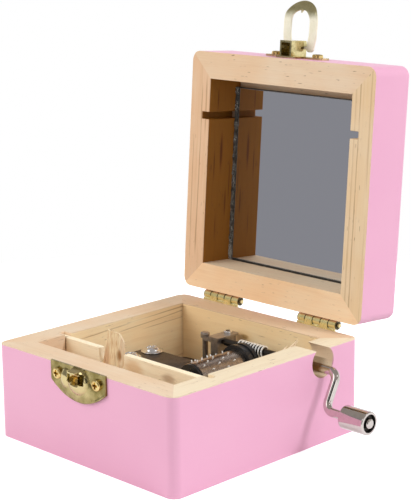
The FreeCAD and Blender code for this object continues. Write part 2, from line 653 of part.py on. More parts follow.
def hasp_loop():
    """The loop: a flat ring with a flared end and a small tooth, and two stubs that turn in the hood."""
    half_gap = HOOD_WIDTH / 2 + LOOP_SIDE_CLEARANCE
    hole_end = LOOP_REACH - LOOP_END_WIDTH
    outer = rounded_plan(LOOP_OUTER_WIDTH, -LOOP_START, LOOP_REACH, LOOP_NEAR_ROUND, LOOP_OUTER_WIDTH * 0.49)
    hole = rounded_plan(LOOP_INNER_WIDTH, LOOP_HOLE_START, hole_end, LOOP_HOLE_ROUND, LOOP_INNER_WIDTH * 0.49)
    gap = box(-half_gap, half_gap, -LOOP_HOLE_START - LOOP_HOLE_ROUND, LOOP_REACH, -LOOP_REACH, LOOP_REACH)
    tooth = prism([(-LOOP_TOOTH_WIDTH / 2, -hole_end - LOOP_TOOTH_HEIGHT, -LOOP_REACH),
                   (LOOP_TOOTH_WIDTH / 2, -hole_end - LOOP_TOOTH_HEIGHT, -LOOP_REACH),
                   (0, -hole_end + LOOP_TOOTH_HEIGHT, -LOOP_REACH)], V(0, 0, 2 * LOOP_REACH))
    plan = outer.cut(hole).cut(gap).fuse(tooth)
    bend = LOOP_REACH - LOOP_FLARE_LENGTH
    wide = LOOP_OUTER_WIDTH
    slab = box(-wide, wide, -LOOP_REACH, LOOP_REACH, -LOOP_THICKNESS / 2, LOOP_THICKNESS / 2)
    sheet = plan.common(slab)
    straight = sheet.common(box(-wide, wide, -bend, LOOP_REACH, -1, 1))
    flare = sheet.common(box(-wide, wide, -LOOP_REACH, -bend, -1, 1))
    flare.rotate(V(0, -bend, 0), X_AXIS, -LOOP_FLARE_ANGLE)
    fold = plan.common(rod(LOOP_THICKNESS, V(-wide, -bend, 0), V(wide, -bend, 0)))
    pieces = [straight, flare, fold]
    for side in (-1, 1):
        inner = side * (HOOD_WIDTH / 2 - CLASP_SHEET)
        pieces.append(rod(LOOP_STUB_DIAMETER, V(inner, 0, 0), V(side * (half_gap + LOOP_STUB_DIAMETER), 0, 0)))
    solid = union(pieces)
    solid.rotate(V(), X_AXIS, -LOOP_LEAN_ANGLE)
    return solid.translated(V(CLASP_X, HASP_Y, HASP_Z))


# Crank

def crank_path():
    """The crank wire's centre line: out along the shaft, down the arm and out to the knob."""
    start = V(SHAFT_END, SHAFT_Y, SHAFT_Z)
    upper = V(CRANK_OUT, SHAFT_Y, SHAFT_Z)
    lower = V(CRANK_OUT, KNOB_Y, KNOB_Z)
    end = V(RECESS_FLOOR, KNOB_Y, KNOB_Z)
    edges = []
    here = start
    for before, corner, after in ((start, upper, lower), (upper, lower, end)):
        back = (before - corner).normalize()
        on = (after - corner).normalize()
        into = corner + back * CRANK_BEND_RADIUS
        out = corner + on * CRANK_BEND_RADIUS
        centre = into + on * CRANK_BEND_RADIUS
        middle = centre + (corner - centre).normalize() * CRANK_BEND_RADIUS
        edges.append(Part.LineSegment(here, into).toShape())
        edges.append(Part.Arc(into, middle, out).toShape())
        here = out
    edges.append(Part.LineSegment(here, end).toShape())
    return Part.Wire(edges)


def crank_wire():
    """The bent crank wire with a thin stub that screws into the worm shaft."""
    path = crank_path()
    section = Part.Wire(Part.makeCircle(WIRE_DIAMETER / 2, V(SHAFT_END, SHAFT_Y, SHAFT_Z), X_AXIS))
    wire = path.makePipeShell([section], True, False)
    stub_start = SHAFT_END - SHAFT_SOCKET_DEPTH + RUNNING_CLEARANCE
    stub = rod(SHAFT_SOCKET_DIAMETER, V(stub_start, SHAFT_Y, SHAFT_Z), V(SHAFT_END, SHAFT_Y, SHAFT_Z))
    return Part.Solid(wire).fuse(stub).removeSplitter()


def knob():
    """The turning knob with a recess in its outer end for the rivet head."""
    start, end = V(KNOB_START, KNOB_Y, KNOB_Z), V(KNOB_END, KNOB_Y, KNOB_Z)
    barrel = rod(KNOB_DIAMETER, start, end)
    rims = [e for e in barrel.Edges if e.Curve.TypeId == "Part::GeomCircle"]
    barrel = barrel.makeFillet(KNOB_EDGE_RADIUS, rims)
    floor = V(RECESS_FLOOR, KNOB_Y, KNOB_Z)
    recess = rod(KNOB_RECESS_DIAMETER, floor, end + V(1, 0, 0))
    bore = rod(WIRE_DIAMETER + 2 * RUNNING_CLEARANCE, start - V(1, 0, 0), end)
    return barrel.cut(recess).cut(bore)


def knob_rivet():
    """The peened head on the wire's end that keeps the knob on."""
    seat = RECESS_FLOOR + RUNNING_CLEARANCE
    head = rod(RIVET_DIAMETER, V(seat, KNOB_Y, KNOB_Z), V(seat + RIVET_THICKNESS, KNOB_Y, KNOB_Z))
    stem = rod(WIRE_DIAMETER, V(RECESS_FLOOR, KNOB_Y, KNOB_Z), V(seat, KNOB_Y, KNOB_Z))
    face = [e for e in head.Edges if e.BoundBox.XMin > seat + RIVET_THICKNESS - 1e-6]
    return head.makeFillet(RIVET_THICKNESS / 2, face).fuse(stem)


# Worm, wheel, cylinder and arbor

def worm_shaft():
    """The worm shaft: a one start right handed thread, a journal and a socket for the crank."""
    pitch_radius = WORM_PITCH_DIAMETER / 2
    root = pitch_radius - THREAD_SINK
    tip = pitch_radius + THREAD_RISE
    inside = SHAFT_DIAMETER / 2 - 0.1
    length = WORM_TURNS * WORM_PITCH
    helix = Part.makeHelix(WORM_PITCH, length, root)
    half_root, half_tip = THREAD_ROOT_WIDTH / 2, THREAD_CREST_WIDTH / 2
    slope = (half_root - half_tip) / (tip - root)
    half_inside = half_root + slope * (root - inside)
    profile = Part.makePolygon([V(inside, 0, -half_inside), V(tip, 0, -half_tip), V(tip, 0, half_tip),
                                V(inside, 0, half_inside), V(inside, 0, -half_inside)])
    thread = Part.Solid(Part.Wire(helix).makePipeShell([profile], True, True))
    thread.rotate(V(), Y_AXIS, 90)
    thread.translate(V(WORM_START, SHAFT_Y, SHAFT_Z))
    core = rod(SHAFT_DIAMETER, V(SHAFT_SHOULDER, SHAFT_Y, SHAFT_Z), V(SHAFT_END, SHAFT_Y, SHAFT_Z))
    journal = rod(JOURNAL_DIAMETER, V(COLUMN_LEFT, SHAFT_Y, SHAFT_Z), V(SHAFT_SHOULDER + 1, SHAFT_Y, SHAFT_Z))
    socket = rod(SHAFT_SOCKET_DIAMETER + 2 * FASTENER_CLEARANCE,
                 V(SHAFT_END - SHAFT_SOCKET_DEPTH, SHAFT_Y, SHAFT_Z), V(SHAFT_END + 1, SHAFT_Y, SHAFT_Z))
    return core.fuse(journal).fuse(thread).cut(socket)


def worm_wheel():
    """The wheel under the worm, with teeth leaning by the worm's lead angle."""
    centre = V(CYLINDER_X, 0, CYLINDER_Z)
    core = rod(2 * GEAR_ROOT, centre + V(0, GEAR_FRONT, 0), centre + V(0, GEAR_BACK, 0))
    half_root, half_tip = TOOTH_ROOT_WIDTH / 2, TOOTH_TIP_WIDTH / 2
    low = GEAR_ROOT - 0.2
    lean = GEAR_FACE * math.tan(math.radians(LEAD_ANGLE))
    x, y, z = CYLINDER_X, GEAR_FRONT, CYLINDER_Z
    shift = lean / 2
    tooth = prism([(x - half_root - shift, y, z + low), (x + half_root - shift, y, z + low),
                   (x + half_tip - shift, y, z + GEAR_TIP), (x - half_tip - shift, y, z + GEAR_TIP)],
                  V(lean, GEAR_FACE, 0))
    teeth = []
    for index in range(GEAR_TEETH):
        one = tooth.copy()
        one.rotate(centre, Y_AXIS, index * 360.0 / GEAR_TEETH)
        teeth.append(one)
    hub = rod(GEAR_HUB_DIAMETER, centre + V(0, RING_BACK, 0), centre + V(0, GEAR_FRONT, 0))
    bore = rod(ARBOR_DIAMETER + 2 * FASTENER_CLEARANCE, centre, centre + V(0, BOX_DEPTH, 0))
    return core.multiFuse(teeth + [hub]).cut(bore)


def along_cylinder(diameter, start, end):
    """A round bar on the cylinder's axis."""
    return rod(diameter, V(CYLINDER_X, start, CYLINDER_Z), V(CYLINDER_X, end, CYLINDER_Z))


def cylinder():
    """The cylinder's tube."""
    tube = along_cylinder(CYLINDER_DIAMETER, CYLINDER_FRONT, CYLINDER_BACK)
    return tube.cut(along_cylinder(CYLINDER_DIAMETER - 2 * CYLINDER_WALL, CYLINDER_FRONT - 1, CYLINDER_BACK + 1))


def cylinder_pins():
    """The pins, one track for each tine, placed round the tube like a tune."""
    pins = []
    track_step = (CYLINDER_LENGTH - 2 * PIN_MARGIN) / COMB_TINES
    for index in range(PIN_COUNT):
        track = (index * 7 + index // 5) % COMB_TINES
        y = CYLINDER_FRONT + PIN_MARGIN + (track + 0.5) * track_step
        foot = V(CYLINDER_X, y, CYLINDER_Z + CYLINDER_DIAMETER / 2)
        pin = rod(PIN_DIAMETER, foot, foot + V(0, 0, PIN_HEIGHT))
        pin.rotate(V(CYLINDER_X, 0, CYLINDER_Z), Y_AXIS, index * 360.0 / PIN_COUNT)
        pins.append(pin)
    return pins


def cylinder_cap():
    """The black cap that plugs the cylinder's front end."""
    inner = CYLINDER_DIAMETER - 2 * CYLINDER_WALL - 2 * FASTENER_CLEARANCE
    flange = along_cylinder(CYLINDER_DIAMETER - 2 * CYLINDER_WALL / 3, CYLINDER_FRONT - CAP_LENGTH, CYLINDER_FRONT)
    solid = flange.fuse(along_cylinder(inner, CYLINDER_FRONT - CAP_LENGTH, CYLINDER_FRONT + CAP_PLUG))
    return solid.removeSplitter().cut(arbor_bore())


def arbor_bore():
    """The hole that the pieces on the arbor have."""
    return along_cylinder(ARBOR_DIAMETER + 2 * FASTENER_CLEARANCE, FRONT, BACK)


def drive_ring():
    """The black ring that plugs the cylinder's back end, with a groove round its rim."""
    inner = CYLINDER_DIAMETER - 2 * CYLINDER_WALL - 2 * FASTENER_CLEARANCE
    disc = along_cylinder(RING_DIAMETER, CYLINDER_BACK, RING_BACK)
    disc = disc.fuse(along_cylinder(inner, CYLINDER_BACK - CAP_PLUG, CYLINDER_BACK))
    third = RING_THICKNESS / 3
    groove = along_cylinder(RING_DIAMETER + 2, CYLINDER_BACK + third, RING_BACK - third)
    groove = groove.cut(along_cylinder(RING_DIAMETER - 2 * RING_GROOVE, CYLINDER_BACK, RING_BACK))
    return disc.cut(groove).cut(arbor_bore())


def cylinder_arbor():
    """The steel arbor from the bedplate's lug to the bracket's lug."""
    front = CYLINDER_FRONT - CAP_LENGTH - LUG_GAP - LUG_THICKNESS
    return along_cylinder(ARBOR_DIAMETER, front, GEAR_BACK + LUG_GAP + LUG_THICKNESS)


def arbor_lug(start, foot):
    """A bearing lug for the arbor: a round top on a straight leg."""
    half = LUG_WIDTH / 2
    leg = box(CYLINDER_X - half, CYLINDER_X + half, start, start + LUG_THICKNESS, foot, CYLINDER_Z)
    lug = leg.fuse(along_cylinder(LUG_WIDTH, start, start + LUG_THICKNESS))
    bore = ARBOR_DIAMETER + 2 * RUNNING_CLEARANCE
    return lug.removeSplitter().cut(along_cylinder(bore, start - 1, start + LUG_THICKNESS + 1))


# Comb

def comb():
    """The comb: a thick heel and tuned tines, shorter towards the back."""
    heel_end = COMB_LEFT + COMB_HEEL_LENGTH
    heel = box(COMB_LEFT, heel_end, COMB_FRONT, COMB_BACK, SEAT_TOP, COMB_TOP)
    blade = box(heel_end - 1, TINE_TIP, COMB_FRONT, COMB_BACK, COMB_TOP - TINE_THICKNESS, COMB_TOP)
    slots = []
    for index in range(1, COMB_TINES):
        share = index / COMB_TINES
        length = TINE_LONGEST + (TINE_SHORTEST - TINE_LONGEST) * share
        y = COMB_FRONT + index * TINE_PITCH
        slots.append(box(TINE_TIP - length, TINE_TIP + 1, y - TINE_SLOT / 2, y + TINE_SLOT / 2,
                         COMB_TOP - TINE_THICKNESS - 1, COMB_TOP + 1))
    solid = heel.fuse(blade).removeSplitter().cut(Part.makeCompound(slots))
    for x, y in comb_screw_spots():
        hole = COMB_SCREW_DIAMETER + 2 * FASTENER_CLEARANCE
        solid = solid.cut(rod(hole, V(x, y, SEAT_TOP - 1), V(x, y, COMB_TOP + 1)))
    return solid


def comb_screw_spots():
    """Where the two comb screws stand."""
    return [(COMB_SCREW_X, COMB_SCREW_FIRST_Y), (COMB_SCREW_X, COMB_SCREW_SECOND_Y)]


def comb_screws():
    """The two washer headed comb screws."""
    head = COMB_SCREW_HEAD * 0.72
    one = screw(head, COMB_SCREW_DIAMETER, COMB_SCREW_HEAD_HEIGHT, COMB_SCREW_LENGTH,
                COMB_SCREW_HEAD, COMB_SCREW_WASHER)
    return [one.translated(V(x, y, COMB_TOP)) for x, y in comb_screw_spots()]


# Bedplate, block and bracket

def bed_screw_spots():
    """Where the screws come up from below: under the comb seat, the column and the post."""
    post = (POST_LEFT + POST_RIGHT) / 2
    column = (COLUMN_LEFT + COLUMN_RIGHT) / 2
    seat_y = (COMB_SCREW_FIRST_Y + COMB_SCREW_SECOND_Y) / 2
    return [(COMB_LEFT + COMB_HEEL_LENGTH - BED_SCREW_DIAMETER, seat_y), (column, SHAFT_Y + BED_SCREW_DIAMETER),
            (post - POST_WIDTH, SHAFT_Y + POST_WIDTH / 2)]


def bed_screw_hole(spot):
    """The clearance hole and head pocket of one bedplate screw."""
    x, y = spot
    hole = rod(BED_SCREW_DIAMETER + 2 * FASTENER_CLEARANCE, V(x, y, -1), V(x, y, BED_TOP + BED_SCREW_BITE - 1))
    pocket = rod(BED_SCREW_HEAD + 0.6, V(x, y, -1), V(x, y, BED_SCREW_HEAD_HEIGHT + 0.2))
    return hole.fuse(pocket)


def bedplate_screws():
    """The long screws through floor board and block into the castings."""
    screws = []
    for x, y in bed_screw_spots():
        seat = BED_SCREW_HEAD_HEIGHT + 0.2
        length = BED_TOP + BED_SCREW_BITE - 1.5 - seat
        one = screw(BED_SCREW_HEAD, BED_SCREW_DIAMETER, BED_SCREW_HEAD_HEIGHT, length)
        screws.append(placed(one, (0, 0, -1), (x, y, seat)))
    return screws


def drilled(shape):
    """A piece with the bedplate screws' holes in it."""
    for spot in bed_screw_spots():
        shape = shape.cut(bed_screw_hole(spot))
    return shape


def mounting_block():
    """The wooden block under the bedplate."""
    return drilled(box(BED_LEFT - BLOCK_MARGIN, BED_TAB_END + BLOCK_MARGIN, BED_FRONT - BLOCK_MARGIN,
                       BED_BACK + BLOCK_MARGIN, BOARD, BLOCK_TOP))


def bedplate():
    """The cast bedplate with the comb's seat and the arbor's front lug."""
    main = plate(BED_LEFT, BED_RIGHT, BED_FRONT, BED_BACK, BLOCK_TOP, BED_TOP, BED_CORNER)
    tab = plate(BED_RIGHT - 2 * BED_CORNER, BED_TAB_END, FOOT_FRONT, BED_BACK, BLOCK_TOP, BED_TOP, BED_CORNER)
    seat = box(COMB_LEFT, COMB_LEFT + COMB_HEEL_LENGTH, COMB_FRONT, COMB_BACK, BED_TOP, SEAT_TOP)
    lug_start = CYLINDER_FRONT - CAP_LENGTH - LUG_GAP - LUG_THICKNESS
    solid = union([main, tab, seat, arbor_lug(lug_start, BED_TOP)])
    for x, y in comb_screw_spots():
        hole = COMB_SCREW_DIAMETER + 2 * FASTENER_CLEARANCE
        depth = COMB_TOP - COMB_SCREW_LENGTH - FASTENER_CLEARANCE
        solid = solid.cut(rod(hole, V(x, y, depth), V(x, y, SEAT_TOP + 1)))
    return drilled(solid)


def worm_bracket():
    """The cast bracket: foot, pillar, web, slotted column, post and the arbor's back lug."""
    foot = box(FOOT_LEFT, BED_TAB_END, FOOT_FRONT, BED_BACK, BED_TOP, FOOT_TOP)
    column = box(COLUMN_LEFT, COLUMN_RIGHT, COLUMN_FRONT, COLUMN_BACK, BED_TOP, COLUMN_TOP)
    pillar = Part.makeCylinder(PILLAR_DIAMETER / 2, PILLAR_TOP - BED_TOP, V(PILLAR_X, PILLAR_Y, BED_TOP))
    neck = PILLAR_TOP - PILLAR_HEAD_HEIGHT
    head = Part.makeCylinder(PILLAR_HEAD_DIAMETER / 2, PILLAR_HEAD_HEIGHT, V(PILLAR_X, PILLAR_Y, neck))
    head = head.makeFillet(PILLAR_HEAD_DIAMETER / 5, edges_at(head, PILLAR_TOP))
    bar_front = SHAFT_Y - JOURNAL_DIAMETER / 2 - RUNNING_CLEARANCE - BAR_WIDTH
    bar_top = COLUMN_TOP - BAR_DROP
    bar = box(PILLAR_X, COLUMN_LEFT + 1, bar_front, bar_front + BAR_WIDTH, bar_top - BAR_HEIGHT, bar_top)
    bore = SHAFT_DIAMETER + 2 * RUNNING_CLEARANCE
    half = POST_WIDTH / 2
    post = box(POST_LEFT, POST_RIGHT, SHAFT_Y - half, SHAFT_Y + half, BED_TOP, SHAFT_Z)
    post = post.fuse(rod(POST_WIDTH, V(POST_LEFT, SHAFT_Y, SHAFT_Z), V(POST_RIGHT, SHAFT_Y, SHAFT_Z)))
    solid = union([foot, column, pillar, head, bar, post, arbor_lug(GEAR_BACK + LUG_GAP, FOOT_TOP - 1)])
    slot = JOURNAL_DIAMETER / 2 + RUNNING_CLEARANCE
    saddle = rod(2 * slot, V(FOOT_LEFT, SHAFT_Y, SHAFT_Z), V(COLUMN_RIGHT + 1, SHAFT_Y, SHAFT_Z))
    mouth = box(COLUMN_LEFT - 1, COLUMN_RIGHT + 1, SHAFT_Y - slot, SHAFT_Y + slot, SHAFT_Z, COLUMN_TOP + 1)
    solid = solid.cut(saddle.common(box(COLUMN_LEFT - 1, COLUMN_RIGHT + 1, FRONT, BACK, 0, LID_TOP))).cut(mouth)
    solid = solid.cut(rod(bore, V(POST_LEFT - 1, SHAFT_Y, SHAFT_Z), V(POST_RIGHT + 1, SHAFT_Y, SHAFT_Z)))
    x, y = cap_screw_spot()
    hole = CAP_SCREW_DIAMETER + 2 * FASTENER_CLEARANCE
    solid = solid.cut(rod(hole, V(x, y, COLUMN_TOP - CAP_SCREW_LENGTH), V(x, y, COLUMN_TOP + 1)))
    return drilled(solid)


def cap_screw_spot():
    """Where the cap plate's screw stands."""
    return (COLUMN_LEFT + COLUMN_RIGHT) / 2, COLUMN_BACK - CAP_SCREW_BACK


def bracket_cap():
    """The cap plate that closes the shaft's slot."""
    x, y = cap_screw_spot()
    top = COLUMN_TOP + CAP_PLATE
    solid = plate(COLUMN_LEFT - CAP_OVERHANG, COLUMN_RIGHT + CAP_OVERHANG, COLUMN_FRONT - CAP_OVERHANG / 2,
                  COLUMN_BACK + CAP_OVERHANG, COLUMN_TOP, top, CAP_OVERHANG)
    return solid.cut(rod(CAP_SCREW_DIAMETER + 2 * FASTENER_CLEARANCE, V(x, y, COLUMN_TOP - 1), V(x, y, top + 1)))


def bracket_screw():
    """The screw of the cap plate."""
    x, y = cap_screw_spot()
    one = screw(CAP_SCREW_HEAD, CAP_SCREW_DIAMETER, CAP_SCREW_HEAD_HEIGHT, CAP_SCREW_LENGTH)
    return one.translated(V(x, y, COLUMN_TOP + CAP_PLATE))


def build():
    """Every sub-part by name."""
    hinges = (-HINGE_X, HINGE_X)
    parts = {"base_" + name: wall for name, wall in base_walls().items()}
    parts["floor_board"] = drilled(board(0))
    parts["mounting_block"] = mounting_block()
    parts["divider_board"] = divider()
    for name, wall in lid_walls().items():
        parts["lid_" + name] = opened(wall)
    parts["lid_top_board"] = opened(board(LID_TOP - BOARD))
    parts["mirror"] = opened(mirror())
    parts["hinge_base_leaves"] = Part.makeCompound([hinge_leaf(x, 1, -1) for x in hinges])
    parts["hinge_lid_leaves"] = opened(Part.makeCompound([hinge_leaf(x, 0, 1) for x in hinges]))
    parts["hinge_pins"] = Part.makeCompound([hinge_pin(x) for x in hinges])
    parts["hinge_base_nails"] = Part.makeCompound(hinge_nails(-1))
    parts["hinge_lid_nails"] = opened(Part.makeCompound(hinge_nails(1)))
    parts["catch_plate"] = catch_plate()
    parts["catch_screws"] = Part.makeCompound(clasp_screws(CLASP_SCREW_Z))
    parts["hasp_plate"] = opened(hasp_plate())
    parts["hasp_screws"] = opened(Part.makeCompound(clasp_screws(HASP_PLATE_Z)))
    parts["hasp_loop"] = opened(hasp_loop())
    parts["bedplate"] = bedplate()
    parts["bedplate_screws"] = Part.makeCompound(bedplate_screws())
    parts["comb"] = comb()
    parts["comb_screws"] = Part.makeCompound(comb_screws())
    parts["worm_bracket"] = worm_bracket()
    parts["bracket_cap"] = bracket_cap()
    parts["bracket_screw"] = bracket_screw()
    parts["worm_shaft"] = worm_shaft()
    parts["worm_wheel"] = worm_wheel()
    parts["cylinder"] = cylinder()
    parts["cylinder_pins"] = Part.makeCompound(cylinder_pins())
    parts["cylinder_cap"] = cylinder_cap()
    parts["drive_ring"] = drive_ring()
    parts["cylinder_arbor"] = cylinder_arbor()
    parts["crank_wire"] = crank_wire()
    parts["crank_knob"] = knob()
    parts["knob_rivet"] = knob_rivet()
    return parts


os.makedirs("parts", exist_ok=True)
for name, shape in build().items():
    shape.exportStep("parts/" + name + ".step")
    print(name, len(shape.Solids), "solids", round(shape.Volume, 1), "mm3", "valid" if shape.isValid() else "NOT VALID")
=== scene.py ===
"""A wooden music box: pink paint over pine, a mirror in the lid, brass fittings and a cranked movement.

Sizes are millimetres in the solids' frame, X to the crank, Y to the hinges and Z up, until a mesh is made.
"""
import bmesh
import bpy
import math
import numpy as np
from mathutils import Matrix, Vector


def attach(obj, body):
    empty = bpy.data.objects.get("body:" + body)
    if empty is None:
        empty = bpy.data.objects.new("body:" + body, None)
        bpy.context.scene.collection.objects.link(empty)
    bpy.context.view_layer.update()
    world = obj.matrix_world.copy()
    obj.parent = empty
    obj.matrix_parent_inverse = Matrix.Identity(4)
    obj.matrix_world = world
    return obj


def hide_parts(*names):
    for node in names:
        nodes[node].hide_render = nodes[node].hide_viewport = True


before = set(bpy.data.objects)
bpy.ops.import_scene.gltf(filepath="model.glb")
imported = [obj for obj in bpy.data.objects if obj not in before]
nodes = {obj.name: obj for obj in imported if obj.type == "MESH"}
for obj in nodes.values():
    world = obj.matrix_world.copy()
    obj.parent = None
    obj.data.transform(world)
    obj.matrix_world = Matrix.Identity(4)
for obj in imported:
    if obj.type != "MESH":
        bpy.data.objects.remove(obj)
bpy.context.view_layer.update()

MM = 0.001

# The box and its lid, shut
HALF_WIDTH = 49.0
HALF_DEPTH = 50.0
INNER_X = 38.0
INNER_Y = 39.0
WALL = HALF_WIDTH - INNER_X
CORNER = 4.0
RIM = 37.5
LID_RIM = 37.7
LID_TOP = 59.7
LID_EDGE = 2.4
LID_ANGLE = math.radians(94.36)
DIVIDER_Y = -23.5
MIRROR_FRONT = -35.2
MIRROR_FACE = 54.2

# The hinges
HINGE_Y = 52.14
HINGE_Z = 39.43
HINGE_MIDDLE = 26.5
KNUCKLE = 4.0

# The clasp
CLASP_X = -0.4
CLASP_HALF = 15.3
CATCH_TOP = 38.1
CATCH_SIDE = 7.4
CATCH_DEPTH = 13.3
SHEET = 0.8
LOOP_Y = -54.2
LOOP_Z = 49.5
LOOP_LEAN = math.radians(1.0)

# The crank
CRANK_HOLE_Y = 28.7
CRANK_HOLE_Z = 32.5
SHAFT_Y = 29.0
SHAFT_Z = 29.84
KNOB_Y = 21.958
KNOB_Z = 16.596
KNOB_END = 77.2


# Materials

class Socket:
    """A node's output. Arithmetic on it adds Math nodes to its material."""

    def __init__(self, finish, link):
        self.finish = finish
        self.link = link

    def math(self, operation, *values):
        return self.finish.node("ShaderNodeMath", {"operation": operation}, dict(enumerate(values)))

    def __add__(self, other):
        return self.math("ADD", self, other)

    def __sub__(self, other):
        return self.math("SUBTRACT", self, other)

    def __rsub__(self, other):
        return self.math("SUBTRACT", other, self)

    def __mul__(self, other):
        return self.math("MULTIPLY", self, other)

    def __truediv__(self, other):
        return self.math("DIVIDE", self, other)

    def __pow__(self, other):
        return self.math("POWER", self, other)

    def __abs__(self):
        return self.math("ABSOLUTE", self)

    def __mod__(self, other):
        return self.math("FLOORED_MODULO", self, other)

    def most(self, other):
        return self.math("MAXIMUM", self, other)

    def least(self, other):
        return self.math("MINIMUM", self, other)

    def rise(self, low, high):
        """0 below low, 1 above high, smooth between."""
        return self.finish.node("ShaderNodeMapRange", {"interpolation_type": "SMOOTHSTEP"},
                                {0: self, 1: low, 2: high})

    def within(self, low, high, soft):
        """1 between low and high, falling to 0 over a soft edge on each side."""
        return self.rise(low - soft, low) * (1 - self.rise(high, high + soft))

    __radd__ = __add__


class Finish:
    """A material, or the world, being put together from nodes."""

    def __init__(self, name, owner=None):
        self.material = owner or bpy.data.materials.new(name)
        self.material.use_nodes = True
        self.tree = self.material.node_tree
        self.tree.nodes.clear()

    def node(self, kind, settings=None, inputs=None, output=0):
        """One node: its settings first, then the values or links of its sockets."""
        made = self.tree.nodes.new(kind)
        for key, value in (settings or {}).items():
            setattr(made, key, value)
        for key, value in (inputs or {}).items():
            if isinstance(value, Socket):
                self.tree.links.new(value.link, made.inputs[key])
            elif isinstance(value, tuple) and len(value) == 3 and made.inputs[key].type == "RGBA":
                made.inputs[key].default_value = (*value, 1.0)
            else:
                made.inputs[key].default_value = value
        return Socket(self, made.outputs[output]) if len(made.outputs) else None

    def place(self, lid=False):
        """Object coordinates in millimetres. On the lid they are turned to where it lies shut."""
        point = self.node("ShaderNodeTexCoord", output="Object")
        if lid:
            shut = Matrix.Rotation(LID_ANGLE, 3, "X")
            hinge = Vector((0, HINGE_Y, HINGE_Z)) * MM
            point = self.node("ShaderNodeMapping", {"vector_type": "POINT"},
                              {"Vector": point, "Location": tuple(hinge - shut @ hinge),
                               "Rotation": (LID_ANGLE, 0, 0)})
        return self.vector("MULTIPLY", point, (1 / MM,) * 3)

    def vector(self, operation, *values):
        """Arithmetic on vectors."""
        return self.node("ShaderNodeVectorMath", {"operation": operation}, dict(enumerate(values)))

    def parts(self, point):
        """The x, y and z of a vector."""
        split = self.tree.nodes.new("ShaderNodeSeparateXYZ")
        self.tree.links.new(point.link, split.inputs[0])
        return [Socket(self, out) for out in split.outputs]

    def noise(self, point, scale, detail=3.0, rough=0.5, seed=0.0):
        """Cloudy noise, about 0.5 at its middle."""
        if seed:
            point = self.vector("ADD", point, (seed, seed * 1.7, seed * 0.6))
        return self.node("ShaderNodeTexNoise", {"noise_dimensions": "3D"},
                         {"Vector": point, "Scale": scale, "Detail": detail, "Roughness": rough})

    def grain(self, point, along, across_scale, along_scale, detail, seed):
        """Noise drawn out along one axis."""
        scale = [across_scale] * 3
        scale[along] = along_scale
        return self.noise(self.vector("MULTIPLY", point, tuple(scale)), 1.0, detail, 0.55, seed)

    def mix(self, factor, first, second):
        """Colour first where factor is 0 and second where it is 1."""
        return self.node("ShaderNodeMix", {"data_type": "RGBA"}, {0: factor, 6: first, 7: second}, output=2)

    def tint(self, colour, factor, shade):
        """A colour multiplied by a shade where factor is 1."""
        return self.node("ShaderNodeMix", {"data_type": "RGBA", "blend_type": "MULTIPLY"},
                         {0: factor, 6: colour, 7: shade}, output=2)

    def patch(self, point, centre, radii, ragged):
        """1 inside an egg shaped patch, falling to 0 towards its ragged edge."""
        offset = self.vector("DIVIDE", self.vector("SUBTRACT", point, centre), radii)
        reach = self.node("ShaderNodeVectorMath", {"operation": "LENGTH"}, {0: offset}, output="Value")
        return 1 - (reach + (ragged - 0.5) * 0.8).rise(0.25, 1.0)

    def surface(self, height=None, relief=0.0, strength=0.0, **sockets):
        """The finished shader, with a bump from a height that is relief millimetres deep."""
        inputs = {key.replace("_", " "): value for key, value in sockets.items()}
        if height is not None:
            inputs["Normal"] = self.node("ShaderNodeBump", {},
                                         {"Strength": strength, "Distance": relief * MM, "Height": height})
        shader = self.node("ShaderNodeBsdfPrincipled", {}, inputs)
        self.node("ShaderNodeOutputMaterial", {}, {"Surface": shader})
        return self.material


PALE_PINE = (0.82, 0.645, 0.46)
PEACH_PINE = (0.80, 0.55, 0.34)
LATE_WOOD = (0.52, 0.29, 0.12)
DARK_GRAIN = (0.17, 0.075, 0.03)
# A brown for knots and lines of the grain, also used for painted shadow on the divider
KNOT_AND_SHADOW_BROWN = (0.30, 0.14, 0.05)
# An orange for resin round a knot, also used for painted shadow on the divider
RESIN_AND_SHADOW_ORANGE = (0.68, 0.38, 0.14)
PINK = (0.83, 0.425, 0.57)
PINK_DEEP = (0.80, 0.39, 0.55)
PINK_PALE = (0.90, 0.58, 0.68)
# Painted light and painted shade in the crank hole's bore
BORE_PAINTED_LIGHT = (0.82, 0.58, 0.37)
BORE_PAINTED_SHADE = (0.16, 0.075, 0.012)
FIBRE_TINT = (0.74, 0.58, 0.44)
# Painted light for the base's inside and painted shade for its rims
INSIDE_PAINTED_LIGHT = (1.22, 1.27, 1.12)
RIM_PAINTED_SHADE = (0.95, 0.97, 0.98)
NO_TINT = (1.0, 1.0, 1.0)


